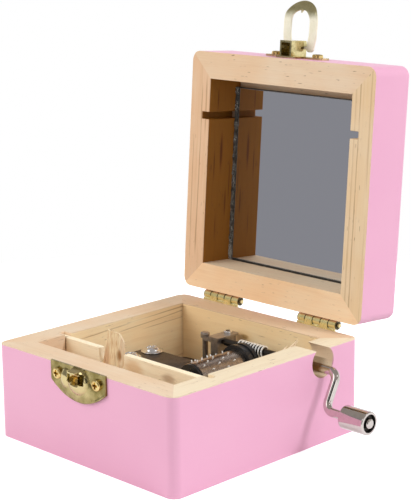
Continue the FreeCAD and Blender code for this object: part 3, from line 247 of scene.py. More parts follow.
def pine(f, place, along, heart, seed, spacing=3.2, sway=12.0, rings=0.2, warm=0.2, dashes=0.55,
         pale=PALE_PINE, peach=PEACH_PINE, marks=(), lines=()):
    """Planed pine: faint rings about a heart line, fine threads and short dark resin dashes along the board.

    A ring is the distance to the heart line plus a slow sway, cut into steps of the ring spacing. Each mark is
    a patch of another tone, and each line is one dark line of the grain.
    Returns colour, height and the share of dark late wood.
    """
    across = [axis for axis in range(3) if axis != along]
    xyz = f.parts(place)
    drift = f.grain(place, along, 0.05, 0.012, 2.0, seed)
    thread = f.grain(place, along, 0.9, 0.03, 4.0, seed + 3)
    fibre = f.grain(place, along, 5.0, 0.12, 2.0, seed + 7)
    cloud = f.noise(place, 0.045, 2.0, 0.5, seed + 11)
    aside = xyz[across[0]] - heart[0]
    above = xyz[across[1]] - heart[1]
    radius = (aside * aside + above * above) ** 0.5 + drift * sway + thread * 1.2
    ring = radius / spacing % 1.0
    late = ring.rise(0.45, 0.92) * (1 - ring.rise(0.94, 1.0))
    peachy = (cloud.rise(0.3, 0.75) * 0.5 + warm + (thread - 0.5) * 0.5).rise(0.0, 1.0)
    colour = f.mix(peachy, pale, peach)
    colour = f.mix(late * thread.rise(0.25, 0.75) * rings, colour, LATE_WOOD)
    colour = f.tint(colour, fibre.rise(0.40, 0.75) * 0.16, FIBRE_TINT)
    dash = f.grain(place, along, 2.2, 0.25, 1.0, seed + 19).rise(0.685, 0.75)
    dash = dash * f.noise(place, 0.12, 1.0, 0.5, seed + 23).rise(0.42, 0.58)
    colour = f.mix(dash * dashes, colour, DARK_GRAIN)
    for centre, radii, tone, amount in marks:
        colour = f.mix(f.patch(place, centre, radii, thread) * amount, colour, tone)
    for line in lines:
        colour = f.mix(grain_line(xyz, thread, along, **line), colour, KNOT_AND_SHADOW_BROWN)
    return colour, fibre * 0.6 + late * 0.25 - dash * 0.8, late


def grain_line(xyz, thread, along, across, level, slope, start, end, face, amount, width=0.35):
    """One dark line of the grain on one face of a board, at a level that drifts by its slope along the board.

    The face is an axis with the lowest and highest place on it.
    """
    side, low, high = face
    apart = abs(xyz[across] - xyz[along] * slope - level + (thread - 0.5) * 1.2)
    there = xyz[along].within(start, end, 8.0) * xyz[side].within(low, high, 0.3)
    return (1 - apart.rise(width * 0.2, width)) * there * thread.rise(0.25, 0.5) * amount


def rounded_distance(x, y, half_x, half_y, radius):
    """How far a point lies outside a rounded rectangle, negative inside."""
    out_x = abs(x) - (half_x - radius)
    out_y = abs(y) - (half_y - radius)
    apart = (out_x.most(0) ** 2 + out_y.most(0) ** 2) ** 0.5
    return apart + out_x.most(out_y).least(0) - radius


def painted_board(name, lid=False, inside_painted_shading=NO_TINT, **board):
    """Pine with pink paint on the outside only, worn thin where the bare rim begins.

    The lid's inside takes its board's painted shading: painted shade in the front and left boards, painted
    light in the back one. The base has painted light inside behind the divider and is browner in its back left
    corner, and its crank hole is bare, with painted light, tan, on the upper side of the bore and painted
    shade, dark brown, in its depth.
    """
    f = Finish(name)
    place = f.place(lid)
    x, y, z = f.parts(place)
    wood, grain, late = pine(f, place, **board)
    seed = board["seed"]
    outside = rounded_distance(x, y, HALF_WIDTH, HALF_DEPTH, CORNER)
    wander = f.noise(place, 0.35, 3.0, 0.6, seed + 2)
    if lid:
        side = outside + LID_EDGE
        top = z - (LID_TOP - LID_EDGE)
        outside = (side.most(0) ** 2 + top.most(0) ** 2) ** 0.5 + side.most(top).least(0) - LID_EDGE
        bare = LID_RIM - z
        # Painted shading inside the lid: each board's inside is multiplied by its own tint of painted light
        # and shade.
        wood = f.tint(wood, (z - LID_RIM).rise(0.05, 0.35), inside_painted_shading)
    else:
        bare = z - RIM
    coat = (outside + wander * 0.35).rise(-0.42, -0.22) * (1 - (bare + wander * 0.5).rise(-0.12, 0.12))
    if not lid:
        rim = bare.rise(-0.6, -0.1)
        inside = (1 - outside.rise(0.1 - WALL, 0.5 - WALL)) * (1 - rim)
        # Painted light: the inside behind the divider is made paler than the wood.
        wood = f.tint(wood, inside * y.rise(DIVIDER_Y - 3.0, DIVIDER_Y + 1.0), INSIDE_PAINTED_LIGHT)
        # Painted shade: the bare rims are made a little darker.
        wood = f.tint(wood, rim, RIM_PAINTED_SHADE)
        reach = ((y - CRANK_HOLE_Y) ** 2 + (z - CRANK_HOLE_Z) ** 2) ** 0.5
        coat = coat * (reach + wander * 1.6).rise(6.6, 7.2).most(1 - x.rise(40.0, 44.0))
        bore = (1 - reach.rise(6.0, 6.25)) * x.rise(INNER_X - 0.4, INNER_X + 0.4)
        # Painted light, tan, on the upper side of the bore and painted shade, dark brown, in its depth.
        wood = f.mix(bore * z.rise(29.0, 33.0) * 0.7, wood, BORE_PAINTED_LIGHT)
        depth = bore * (1 - (x + wander * 2).rise(43.5, 48.0)) * z.within(26.9, 31.5, 0.5)
        wood = f.mix(depth * 0.95, wood, BORE_PAINTED_SHADE)
        corner = y.rise(INNER_Y - 1.6, INNER_Y + 0.2).least(1 - x.rise(-INNER_X - 0.6, -INNER_X + 1.2))
        wood = f.mix(corner * (1 - outside.rise(-WALL - 0.6, -WALL + 0.4)) * 0.75, wood, KNOT_AND_SHADOW_BROWN)
    cloud = f.noise(place, 0.03, 2.0, 0.5, seed + 5)
    skin = f.noise(place, 1.4, 2.0, 0.5, seed + 9)
    pink = f.mix(cloud.rise(0.3, 0.75) * 0.5 + late * 0.06, PINK, PINK_DEEP)
    pink = f.mix(f.noise(place, 0.8, 1.0, 0.4, seed + 13).rise(0.74, 0.82) * 0.2, pink, PINK_PALE)
    height = grain * (1 - coat * 0.9) + coat * 0.35 + skin * coat * 0.10
    return f.surface(height, 0.10, 0.5, Base_Color=f.mix(coat, wood, pink),
                     Roughness=0.62 - coat * 0.20 + skin * 0.06, Coat_Weight=coat * 0.12,
                     Coat_Roughness=0.25, Specular_IOR_Level=0.42)


def bare_board(name, **board):
    """Bare planed pine."""
    f = Finish(name)
    wood, grain, late = pine(f, f.place(), **board)
    return f.surface(grain, 0.10, 0.5, Base_Color=wood, Roughness=0.60 + late * 0.08, Specular_IOR_Level=0.35)


def torn_pine(name):
    """Splintered pine: painted shade in the furrows up it, down its left side and in its dark knot hole."""
    f = Finish(name)
    place = f.place()
    x, y, z = f.parts(place)
    furrow = f.grain(place, 2, 2.4, 0.10, 3.0, 4.0)
    hair = f.grain(place, 2, 5.0, 0.20, 2.0, 9.0)
    # Painted shade: the furrows are browner in their depths.
    colour = f.mix(furrow.rise(0.40, 0.66), (0.98, 0.81, 0.52), (0.76, 0.50, 0.26))
    colour = f.tint(colour, hair.rise(0.4, 0.7) * 0.3, (0.70, 0.52, 0.40))
    colour = f.mix((x + furrow * 3).rise(-7.2, -4.8) * 0.5, colour, PALE_PINE)
    # Painted shade down the splinter's left side
    brown = f.patch(place, (-14.6, DIVIDER_Y, 33.0), (2.8, 9.0, 7.0), furrow)
    colour = f.mix(brown * 0.6, colour, (0.62, 0.33, 0.17))
    # A dark knot, with painted shade in its hole
    knot = f.patch(place, (-7.4, DIVIDER_Y, 35.0), (1.7, 9.0, 3.4), furrow)
    colour = f.mix(knot * 0.9, colour, (0.36, 0.17, 0.05))
    return f.surface(furrow + hair * 0.4, 0.5, 0.8, Base_Color=colour, Roughness=0.75, Specular_IOR_Level=0.3)


def metal(name, colour, dark, roughness, cloudiness=0.35, bump=0.02, metallic=1.0):
    """Metal with faint scratches, duller clouds and specks of dirt."""
    f = Finish(name)
    place = f.place()
    cloud = f.noise(place, 0.5, 3.0, 0.55, 2.0)
    scratches = f.noise(f.vector("MULTIPLY", place, (9.0, 0.7, 2.2)), 1.0, 2.0, 0.6, 4.0)
    speck = f.noise(place, 3.0, 2.0, 0.5, 6.0).rise(0.68, 0.78)
    tone = f.mix(cloud.rise(0.35, 0.8) * cloudiness, colour, dark)
    tone = f.mix(speck * 0.35, tone, dark)
    rough = roughness + scratches.rise(0.45, 0.8) * 0.12 + cloud * 0.08
    return f.surface(scratches * 0.5 + cloud * 0.5, bump, 0.35, Base_Color=tone, Metallic=metallic,
                     Roughness=rough)


def catch_brass(name):
    """Pressed brass, tarnished in its low places, with painted shade inside its two windows."""
    f = Finish(name)
    place = f.place()
    x, y, z = f.parts(place)
    cloud = f.noise(place, 0.28, 2.0, 0.5, 3.0)
    pit = f.noise(place, 2.2, 3.0, 0.6, 7.0)
    proud = -HALF_DEPTH - y
    drop = CATCH_TOP - z
    aside = abs(x - CLASP_X)
    tarnish = (1 - proud.rise(0.7, 2.4)) * 0.72 + (cloud - 0.5) * 0.9 + pit.rise(0.55, 0.75) * 0.12
    tone = f.mix(tarnish.rise(0.0, 1.0), (0.68, 0.56, 0.28), (0.24, 0.19, 0.055))
    # Painted shade: the windows are shallow brass painted dark where a hole would lie in shade
    window = (1 - proud.rise(0.30, 0.60)) * drop.within(1.6, 6.0, 0.1) * aside.within(2.2, 4.9, 0.1)
    tone = f.mix(window, tone, f.mix(cloud, (0.50, 0.38, 0.10), (0.18, 0.12, 0.03)))
    tongue = (1 - aside.rise(1.7, 2.1)) * drop.within(2.3, 5.6, 0.3)
    tone = f.mix(tongue * 0.8, tone, (0.85, 0.50, 0.10))
    return f.surface(cloud * 0.6 + pit * 0.4, 0.02, 0.4, Base_Color=tone, Metallic=1 - window,
                     Roughness=0.15 + tarnish.rise(0.2, 1.0) * 0.18 + window * 0.6)


def loop_brass(name):
    """Brass painted pale on the loop's legs, a painted reflection, and yellower and bare where its far end is
    bent back.
    """
    f = Finish(name)
    place = f.place(lid=True)
    x, y, z = f.parts(place)
    cloud = f.noise(place, 0.35, 3.0, 0.55, 6.0)
    brushed = f.noise(f.vector("MULTIPLY", place, (8.0, 0.8, 2.0)), 1.0, 2.0, 0.6, 2.0)
    end = (0 - y + cloud * 2).rise(65.8, 70.4)
    # Painted reflection: the legs pale, near white, with little metal in them
    tone = f.mix(cloud.rise(0.3, 0.8) * 0.5, (1.0, 0.96, 0.76), (0.93, 0.88, 0.62))
    tone = f.mix(end, tone, f.mix(cloud, (0.66, 0.60, 0.34), (0.42, 0.37, 0.18)))
    return f.surface(brushed, 0.02, 0.4, Base_Color=tone, Metallic=0.12 + end * 0.85,
                     Roughness=0.24 + brushed * 0.10)


def hinge_brass(name):
    """Brass knuckles with painted shade between neighbours and a dull film."""
    f = Finish(name)
    place = f.place()
    x, y, z = f.parts(place)
    cloud = f.noise(place, 0.6, 3.0, 0.6, 2.0)
    film = f.noise(place, 2.5, 3.0, 0.6, 5.0)
    half = KNUCKLE / 2
    knuckle = (abs(abs(x) - HINGE_MIDDLE) + half) % KNUCKLE
    # Painted shade in the narrow gaps between knuckles
    knuckle_gap_shade = abs(knuckle - half).rise(half - 0.36, half - 0.12)
    tone = f.mix(cloud.rise(0.3, 0.8) * 0.7, (0.98, 0.86, 0.42), (0.66, 0.55, 0.20))
    tone = f.mix(film.rise(0.55, 0.75) * 0.4, tone, (0.32, 0.24, 0.09))
    barrel = 1 - (((y - HINGE_Y) ** 2 + (z - HINGE_Z) ** 2) ** 0.5).rise(1.84, 1.95)
    tone = f.mix(knuckle_gap_shade * barrel * 0.92, tone, (0.02, 0.016, 0.008))
    return f.surface(film, 0.03, 0.5, Base_Color=tone, Metallic=0.72, Roughness=0.22 + cloud * 0.14)


def worm_steel(name):
    """The worm: painted glints, white and half metal, on its crests, over roots painted black as shade."""
    f = Finish(name)
    place = f.place()
    x, y, z = f.parts(place)
    smear = f.noise(place, 0.9, 3.0, 0.6, 2.0)
    # Painted glints on the crests, painted shade in the roots
    crest_painted_glint = (((y - SHAFT_Y) ** 2 + (z - SHAFT_Z) ** 2) ** 0.5 + (smear - 0.5) * 0.4).rise(1.95, 2.35)
    tone = f.mix(crest_painted_glint, (0.07, 0.06, 0.05), (0.97, 0.96, 0.92))
    return f.surface(smear, 0.02, 0.4, Base_Color=tone, Metallic=0.9 - crest_painted_glint * 0.5,
                     Roughness=0.30 - crest_painted_glint * 0.15)


def wire_chrome(name):
    """The crank's bright wire, with painted shade and a painted brown reflection of the wood where it runs
    through the wall.
    """
    f = Finish(name)
    place = f.place()
    x, y, z = f.parts(place)
    cloud = f.noise(place, 0.5, 3.0, 0.55, 2.0)
    # Painted shade and brown reflection on the wire inside the crank hole
    bore_shade_and_reflection = 1 - (x + cloud * 2).rise(48.5, 51.0)
    tone = f.mix(cloud.rise(0.35, 0.8) * 0.35, (0.68, 0.63, 0.59), (0.42, 0.37, 0.33))
    tone = f.mix(bore_shade_and_reflection * 0.9, tone, (0.24, 0.12, 0.03))
    return f.surface(cloud, 0.008, 0.3, Base_Color=tone, Metallic=1.0,
                     Roughness=0.05 + cloud * 0.05 + bore_shade_and_reflection * 0.25)


def knob_chrome(name):
    """The knob's plating, with painted shade on the floor of the recess in its end."""
    f = Finish(name)
    place = f.place()
    x, y, z = f.parts(place)
    cloud = f.noise(place, 0.6, 3.0, 0.55, 2.0)
    reach = ((y - KNOB_Y) ** 2 + (z - KNOB_Z) ** 2) ** 0.5
    floor_level = x.rise(KNOB_END - 1.5, KNOB_END - 1.4) * (1 - x.rise(KNOB_END - 0.9, KNOB_END - 0.2))
    # Painted shade on the floor of the recess, round the rivet
    recess_painted_shade = floor_level * (1 - reach.rise(3.5, 3.6))
    tone = f.mix(cloud.rise(0.35, 0.8) * 0.3, (0.66, 0.61, 0.57), (0.48, 0.43, 0.39))
    tone = f.mix(recess_painted_shade * 0.95, tone, (0.022, 0.018, 0.016))
    return f.surface(cloud, 0.008, 0.3, Base_Color=tone, Metallic=1.0,
                     Roughness=0.07 + cloud * 0.06 + recess_painted_shade * 0.3)


def mirror_glass(name):
    """Silvered glass with a bright face, dull ground edges and a few bright chips."""
    f = Finish(name)
    place = f.place(lid=True)
    x, y, z = f.parts(place)
    chips = f.noise(place, 2.6, 3.0, 0.7, 3.0)
    edge = (INNER_X - 0.65 - x).least(x + INNER_X - 1.5)
    edge = edge.least(y - MIRROR_FRONT - 0.35).least(INNER_Y - 0.9 - y)
    ground = 1 - (edge - chips * 0.5).rise(-0.35, 0.0)
    glitter = f.noise(place, 5.0, 2.0, 0.6, 8.0).rise(0.60, 0.66)
    haze = f.noise(place, 0.08, 3.0, 0.6, 5.0)
    face = f.mix(haze * 0.12, (0.84, 0.85, 0.88), (0.76, 0.77, 0.80))
    rim = f.mix(glitter, (0.05, 0.055, 0.05), (0.8, 0.82, 0.8))
    return f.surface(Base_Color=f.mix(ground, face, rim), Metallic=1 - ground * 0.8,
                     Roughness=0.015 + ground * 0.35 + haze * 0.01)


def ground_glass(name):
    """The mirror's rough cut edge: near black with bright grains."""
    f = Finish(name)
    place = f.place(lid=True)
    x, y, z = f.parts(place)
    grains = f.noise(place, 3.4, 2.0, 0.7, 4.0)
    side = 1 - x.rise(-36.6, -36.0)
    bright = grains.rise(0.54, 0.64) * f.noise(place, 0.35, 2.0, 0.5, 8.0).rise(0.3, 0.6) * side
    tone = f.mix(bright, (0.030, 0.026, 0.020), (0.85, 0.86, 0.84))
    tone = f.mix(y.rise(30.0, 37.0) * grains.rise(0.42, 0.56) * side, tone, (0.62, 0.60, 0.56))
    return f.surface(grains, 0.3, 0.8, Base_Color=tone, Roughness=0.30, Metallic=bright * 0.6)


def plastic(name, colour, roughness):
    """Moulded plastic with a fine skin."""
    f = Finish(name)
    place = f.place()
    skin = f.noise(place, 4.0, 2.0, 0.5, 1.0)
    cloud = f.noise(place, 0.4, 2.0, 0.5, 4.0)
    tone = f.mix(cloud * 0.6, colour, tuple(c * 1.8 for c in colour))
    return f.surface(skin, 0.02, 0.4, Base_Color=tone, Roughness=roughness + cloud * 0.15)


def rim_line(level, slope, start, end, amount, width=0.5):
    """A line of the grain along the rim of one of the lid's sides."""
    return dict(across=0, level=level, slope=slope, start=start, end=end, face=(2, 37.0, 38.0), amount=amount,
                width=width)


LEFT_LINES = [dict(across=2, level=level, slope=slope, start=start, end=60.0, face=(0, -38.8, -37.0),
                   amount=amount)
              for level, slope, start, amount in ((34.5, 0.040, -12.0, 0.6), (32.2, 0.055, 8.0, 0.5),
                                                  (30.4, 0.030, 22.0, 0.45), (11.5, 0.10, 4.0, 0.3))]
LID_LEFT_STREAKS = [((-INNER_X, y, z), (1.5, long, high), tone, amount) for y, z, long, high, tone, amount in (
    (-8.0, 46.0, 11.0, 1.1, (0.22, 0.05, 0.012), 0.75), (14.0, 49.5, 8.0, 0.7, (0.20, 0.06, 0.015), 0.6),
    (-30.0, 43.0, 7.0, 0.6, (0.20, 0.06, 0.015), 0.6), (-3.0, 42.0, 9.0, 0.5, (0.16, 0.05, 0.01), 0.6),
    (24.0, 44.0, 9.0, 0.5, (0.16, 0.05, 0.01), 0.5), (5.0, 51.5, 12.0, 0.5, (0.14, 0.04, 0.01), 0.5))]

FRONT_PINE = painted_board("front_pine", along=0, heart=(-62.0, -34.0), spacing=3.1, seed=11.0, rings=0.14)
BACK_PINE = painted_board("back_pine", along=0, heart=(58.0, -40.0), spacing=4.2, seed=23.0, rings=0.16,
                          warm=0.45, marks=(((-1.5, 39.0, 29.9), (2.6, 2.0, 1.5), KNOT_AND_SHADOW_BROWN, 0.8),
                                            ((-1.5, 39.0, 29.9), (7.0, 2.0, 3.5), RESIN_AND_SHADOW_ORANGE, 0.35)))
LEFT_PINE = painted_board("left_pine", along=1, heart=(-30.0, -60.0), spacing=4.0, seed=37.0, rings=0.15,
                          warm=0.3, lines=LEFT_LINES)
RIGHT_PINE = painted_board("right_pine", along=1, heart=(60.0, -48.0), spacing=2.9, seed=41.0,
                           pale=(0.88, 0.74, 0.53), peach=(0.84, 0.66, 0.43),
                           marks=(((41.5, -23.6, 37.5), (1.4, 0.9, 1.0), (0.50, 0.20, 0.04), 0.9),))
# The lid's boards: painted shade inside the front and left ones, painted light inside the back one.
LID_FRONT_PINE = painted_board("lid_front_pine", lid=True, inside_painted_shading=(0.38, 0.23, 0.035), along=0,
                               heart=(-80.0, 116.0), spacing=3.3, seed=53.0, rings=0.10, warm=0.3, dashes=0.8)
LID_BACK_PINE = painted_board("lid_back_pine", lid=True, inside_painted_shading=(0.98, 1.12, 1.30), along=0,
                              heart=(66.0, 110.0), spacing=3.8, seed=61.0, rings=0.10, warm=0.4,
                              pale=(0.93, 0.72, 0.48), peach=(0.93, 0.62, 0.36))
LID_LEFT_PINE = painted_board("lid_left_pine", lid=True, inside_painted_shading=(0.41, 0.245, 0.025), along=1,
                              heart=(-76.0, 108.0), spacing=3.0, seed=71.0, warm=0.7,
                              peach=(0.78, 0.50, 0.30), marks=LID_LEFT_STREAKS,
                              lines=[rim_line(-42.6, -0.006, -30.0, 30.0, 0.55, 0.45),
                                     rim_line(-39.9, 0.0, -34.0, -22.0, 0.45),
                                     rim_line(-46.4, 0.004, -10.0, 34.0, 0.4, 0.35)])
LID_RIGHT_PINE = painted_board("lid_right_pine", lid=True, along=1, heart=(140.0, 42.0), spacing=3.1,
                               seed=83.0, rings=0.16, sway=3.0, warm=0.15, pale=(0.82, 0.63, 0.41),
                               peach=(0.80, 0.56, 0.31),
                               lines=[rim_line(42.3, 0.004, -60.0, 60.0, 0.5),
                                      rim_line(40.2, 0.004, -60.0, 60.0, 0.25),
                                      rim_line(47.6, 0.004, -60.0, 60.0, 0.25)])
LID_BOARD = painted_board("lid_board_finish", lid=True, along=0, heart=(0.0, -30.0), spacing=4.0, seed=91.0)
FLOOR_PINE = bare_board("floor_pine", along=0, heart=(10.0, -50.0), spacing=4.2, seed=5.0)
DIVIDER_PINE = bare_board("divider_pine", along=0, heart=(-63.0, -50.0), spacing=3.6, seed=17.0, rings=0.15,
                          pale=(0.99, 0.87, 0.63), peach=(0.95, 0.79, 0.54),
                          # Painted shadow on the divider: an orange-brown patch, a brown one to the right and
                          # a band at the left end.
                          marks=(((1.5, -25.0, 32.5), (7.0, 2.5, 4.5), RESIN_AND_SHADOW_ORANGE, 0.55),
                                 ((20.5, -25.0, 32.5), (5.0, 2.5, 2.5), KNOT_AND_SHADOW_BROWN, 0.55),
                                 ((-38.6, -25.0, 32.0), (1.5, 3.0, 9.0), KNOT_AND_SHADOW_BROWN, 0.8)))
BLOCK_PINE = bare_board("block_pine", along=0, heart=(30.0, -20.0), spacing=3.2, seed=29.0)
TORN_PINE = torn_pine("torn_pine")
MIRROR = mirror_glass("silvered_glass")
GLASS_EDGE = ground_glass("ground_glass_edge")
CATCH_BRASS = catch_brass("catch_brass")
CLASP_BRASS = metal("clasp_brass", (0.82, 0.71, 0.38), (0.27, 0.21, 0.06), 0.14, cloudiness=0.75, bump=0.06)
LOOP_BRASS = loop_brass("loop_brass")
SCREW_BRASS = metal("screw_brass", (0.84, 0.66, 0.28), (0.48, 0.22, 0.03), 0.16, cloudiness=0.7)
HINGE_BRASS = hinge_brass("hinge_brass")
KNOB_CHROME = knob_chrome("knob_chrome")
WIRE_CHROME = wire_chrome("wire_chrome")
WORM_STEEL = worm_steel("worm_steel")
SCREW_STEEL = metal("screw_steel", (0.92, 0.92, 0.93), (0.50, 0.51, 0.54), 0.14)
COMB_STEEL = metal("comb_steel", (0.15, 0.125, 0.11), (0.06, 0.05, 0.045), 0.30)
CAST = metal("cast_bracket", (0.46, 0.39, 0.33), (0.17, 0.14, 0.12), 0.26, cloudiness=0.6, bump=0.06,
             metallic=0.85)
BED = metal("cast_bed", (0.10, 0.09, 0.08), (0.05, 0.045, 0.04), 0.42, bump=0.06)
CYLINDER_METAL = metal("cylinder_metal", (0.50, 0.42, 0.36), (0.20, 0.16, 0.13), 0.22, cloudiness=0.6)
# Painted glints: the pins nearly white and only partly metal
PIN_PAINTED_GLINT_STEEL = metal("bright_steel", (1.0, 1.0, 0.98), (0.60, 0.58, 0.55), 0.12, metallic=0.35)
BLACK = plastic("black_plastic_skin", (0.011, 0.011, 0.012), 0.22)


# Shapes

SHARP_EDGE = math.radians(32)
SHARP_FOLD = math.radians(50)
FLAT_ENOUGH = math.radians(0.4)


def dressed(name, material):
    """A solid that keeps its own shape and gets a better finish."""
    held = nodes[name].data.materials
    for index in range(len(held)):
        held[index] = material


def fit(piece, body, slot, *replaced):
    """A piece set to ride on its body, in place of solids. Its slot is not used."""
    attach(piece, body)
    if replaced:
        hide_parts(*replaced)
    return piece


def is_mitre(face, lid):
    """Whether a wall's face is a mitre: a sawn plane that crosses its corner, not the rounded corner."""
    turn = Matrix.Rotation(LID_ANGLE if lid else 0.0, 3, "X")
    normal = turn @ face.normal
    hinge = Vector((0, HINGE_Y, HINGE_Z)) * MM
    centre = turn @ (face.calc_center_median() - hinge) + hinge
    slanted = abs(abs(normal.x) - abs(normal.y)) < 0.03 and abs(normal.z) < 0.05
    return slanted and normal.x * centre.x * normal.y * centre.y < 0


def softened(name, width, body, slot, material, segments=2):
    """A copy of a solid, its triangles joined into faces and its sharp edges rounded, but not its mitres."""
    mesh = nodes[name].data.copy()
    shading = mesh.attributes.get("custom_normal")
    if shading:
        mesh.attributes.remove(shading)
    work = bmesh.new()
    work.from_mesh(mesh)
    bmesh.ops.remove_doubles(work, verts=work.verts, dist=2e-6)
    bmesh.ops.dissolve_limit(work, angle_limit=FLAT_ENOUGH, verts=work.verts, edges=work.edges)
    weight = work.edges.layers.float.new("bevel_weight_edge")
    mitres = {face for face in work.faces if "_wall" in name and is_mitre(face, body == "lid")}
    for edge in work.edges:
        sharp = len(edge.link_faces) == 2 and edge.calc_face_angle() > SHARP_EDGE
        edge[weight] = 1.0 if sharp and not mitres.intersection(edge.link_faces) else 0.0
    work.to_mesh(mesh)
    work.free()
    mesh.shade_smooth()
    mesh.set_sharp_from_angle(angle=SHARP_EDGE)
    mesh.materials.clear()
    mesh.materials.append(material)
    piece = bpy.data.objects.new(name + "_softened", mesh)
    bpy.context.scene.collection.objects.link(piece)
    bevel = piece.modifiers.new("edges", "BEVEL")
    bevel.width = width * MM
    bevel.segments = segments
    bevel.limit_method = "WEIGHT"
    bevel.use_clamp_overlap = True
    bevel.harden_normals = True
    return fit(piece, body, slot, name)


def smooth(value, low, high):
    """0 below low, 1 above high and a smooth step between, for arrays."""
    share = np.clip((value - low) / (high - low), 0.0, 1.0)
    return share * share * (3 - 2 * share)


def signed_power(value, power):
    """A power of a value's size, with the value's sign."""
    return np.sign(value) * np.abs(value) ** power


def ripple(place, seed, waves, pitch):
    """A wavering line about 0: a sum of sines with seeded phases, each as strong as the root of its length."""
    chance = np.random.default_rng(seed)
    rates = pitch * 2.0 ** (np.arange(waves) * 0.5)
    phases = chance.uniform(0, 2 * np.pi, waves)
    return (np.sin(np.multiply.outer(place, rates) + phases) / np.sqrt(rates / pitch)).sum(axis=-1) / 3


def at(x, y, z):
    """Points from their coordinates, each an array or one number for all."""
    return np.stack(np.broadcast_arrays(x, y, z), axis=-1)


def opened(points):
    """Points of the shut lid turned about the hinge to where the lid stands open."""
    turn = np.array(Matrix.Rotation(-LID_ANGLE, 3, "X"))
    hinge = np.array([0.0, HINGE_Y, HINGE_Z])
    return (points - hinge) @ turn.T + hinge


def shell(name, grids, material):
    """One mesh of tubes: each grid holds rings of points, joined round, with its two ends closed."""
    vertices, faces, used = [], [], 0
    for rings in grids:
        count, around = rings.shape[:2]
        index = np.arange(count * around).reshape(count, around) + used
        used += count * around
        ahead = np.roll(index, -1, axis=1)
        faces += np.stack([index[:-1], ahead[:-1], ahead[1:], index[1:]], axis=-1).reshape(-1, 4).tolist()
        faces += [index[0, ::-1].tolist(), index[-1].tolist()]
        vertices.append(rings.reshape(-1, 3))
    mesh = bpy.data.meshes.new(name)
    mesh.from_pydata(np.concatenate(vertices) * MM, [], faces)
    work = bmesh.new()
    work.from_mesh(mesh)
    bmesh.ops.remove_doubles(work, verts=work.verts, dist=1e-7)
    bmesh.ops.recalc_face_normals(work, faces=work.faces)
    work.to_mesh(mesh)
    work.free()
    mesh.shade_smooth()
    mesh.set_sharp_from_angle(angle=SHARP_FOLD)
    mesh.materials.append(material)
    piece = bpy.data.objects.new(name, mesh)
    bpy.context.scene.collection.objects.link(piece)
    return piece


def bar(path, across, inner, outer, thickness, around=20):
    """Rings along a path. A ring is a squarish oval: the square roots of cosine and sine, with their signs.

    It is as wide along across as an inner and an outer half width, and as thick as the thickness in the
    direction square to the path and to across. Each of them is one value, or one for each point of the path.
    """
    across = np.broadcast_to(across, path.shape)
    inner, outer, thickness = (np.broadcast_to(size, len(path))[:, None] for size in (inner, outer, thickness))
    ahead = np.gradient(path, axis=0)
    ahead /= np.linalg.norm(ahead, axis=1, keepdims=True)
    up = np.cross(ahead, across)
    up /= np.linalg.norm(up, axis=1, keepdims=True)
    angle = np.linspace(0, 2 * np.pi, around, endpoint=False)
    wide = signed_power(np.cos(angle), 0.5)
    thick = signed_power(np.sin(angle), 0.5)
    reach = np.where(wide > 0, outer, inner) * wide
    height = thickness / 2 * thick
    return path[:, None] + reach[..., None] * across[:, None] + height[..., None] * up[:, None]


def pressed_catch():
    """The pressed catch, with u across from its middle and w down from its top.

    Its height off the wall is a flat sheet plus the highest of a shallow belly and two rounded bosses. A
    hooked beak takes the middle, with a window on each side, and a low lip follows the right of the lower
    edge. The sheet is deepest in the middle, and its depth falls off with a power of the distance from there.
    """
    u, v = np.meshgrid(np.linspace(-1.0, 1.0, 157) * CLASP_HALF, np.linspace(0.0, 1.0, 97), indexing="ij")
    foot = CATCH_DEPTH - (CATCH_DEPTH - CATCH_SIDE) * (np.abs(u) / CLASP_HALF) ** 2.1
    w = v * foot

    def boss(middle, low, wide, deep, height):
        reach = np.sqrt(((u - middle) / wide) ** 2 + ((w - low) / deep) ** 2)
        return height * np.clip(1 - reach ** 2.4, 0.0, 1.0) ** 0.62

    belly = 0.7 * np.clip(1 - ((u - 0.3) / 10.5) ** 2 - ((w - 8.3) / 4.6) ** 2, 0.0, 1.0) ** 0.7
    bosses = np.maximum(boss(-6.2, 5.4, 3.4, 3.9, 1.4), boss(0.5, 5.2, 5.8, 5.3, 2.3))
    height = SHEET + np.maximum(belly, bosses)
    tongue = 1 - smooth(np.abs(u), 2.0, 2.4)
    beak = np.interp(w, [0.0, 0.5, 1.0, 1.7, 2.6, 4.2, 5.6, 6.6], [0.8, 1.4, 4.1, 4.1, 2.2, 1.1, 1.5, 3.1])
    height = np.where(w < 6.6, height * (1 - tongue) + beak * tongue, height)
    window = smooth(np.abs(u), 2.35, 2.55) * (1 - smooth(np.abs(u), 4.5, 4.75))
    window = window * smooth(w, 1.7, 1.95) * (1 - smooth(w, 5.5, 5.8))
    height = height * (1 - window) + 0.15 * window
    lip = np.minimum(CLASP_HALF - np.abs(u), foot - w)
    height = height + 0.25 * (1 - smooth(lip, 0.3, 1.2)) * smooth(w, 5.0, 8.0) * smooth(u, -4.0, 4.0)
    height = height * (0.35 + 0.65 * np.sqrt(1 - (1 - smooth(lip, -0.35, 0.35)) ** 2))
    front = at(CLASP_X + u, -HALF_DEPTH - height, CATCH_TOP - w)
    back = at(CLASP_X + u, -HALF_DEPTH - 0.02, CATCH_TOP - w)
    rings = np.concatenate([front, back[:, ::-1]], axis=1)
    return fit(shell("catch_pressed", [rings], CATCH_BRASS), "base_box", "brass", "catch_plate")


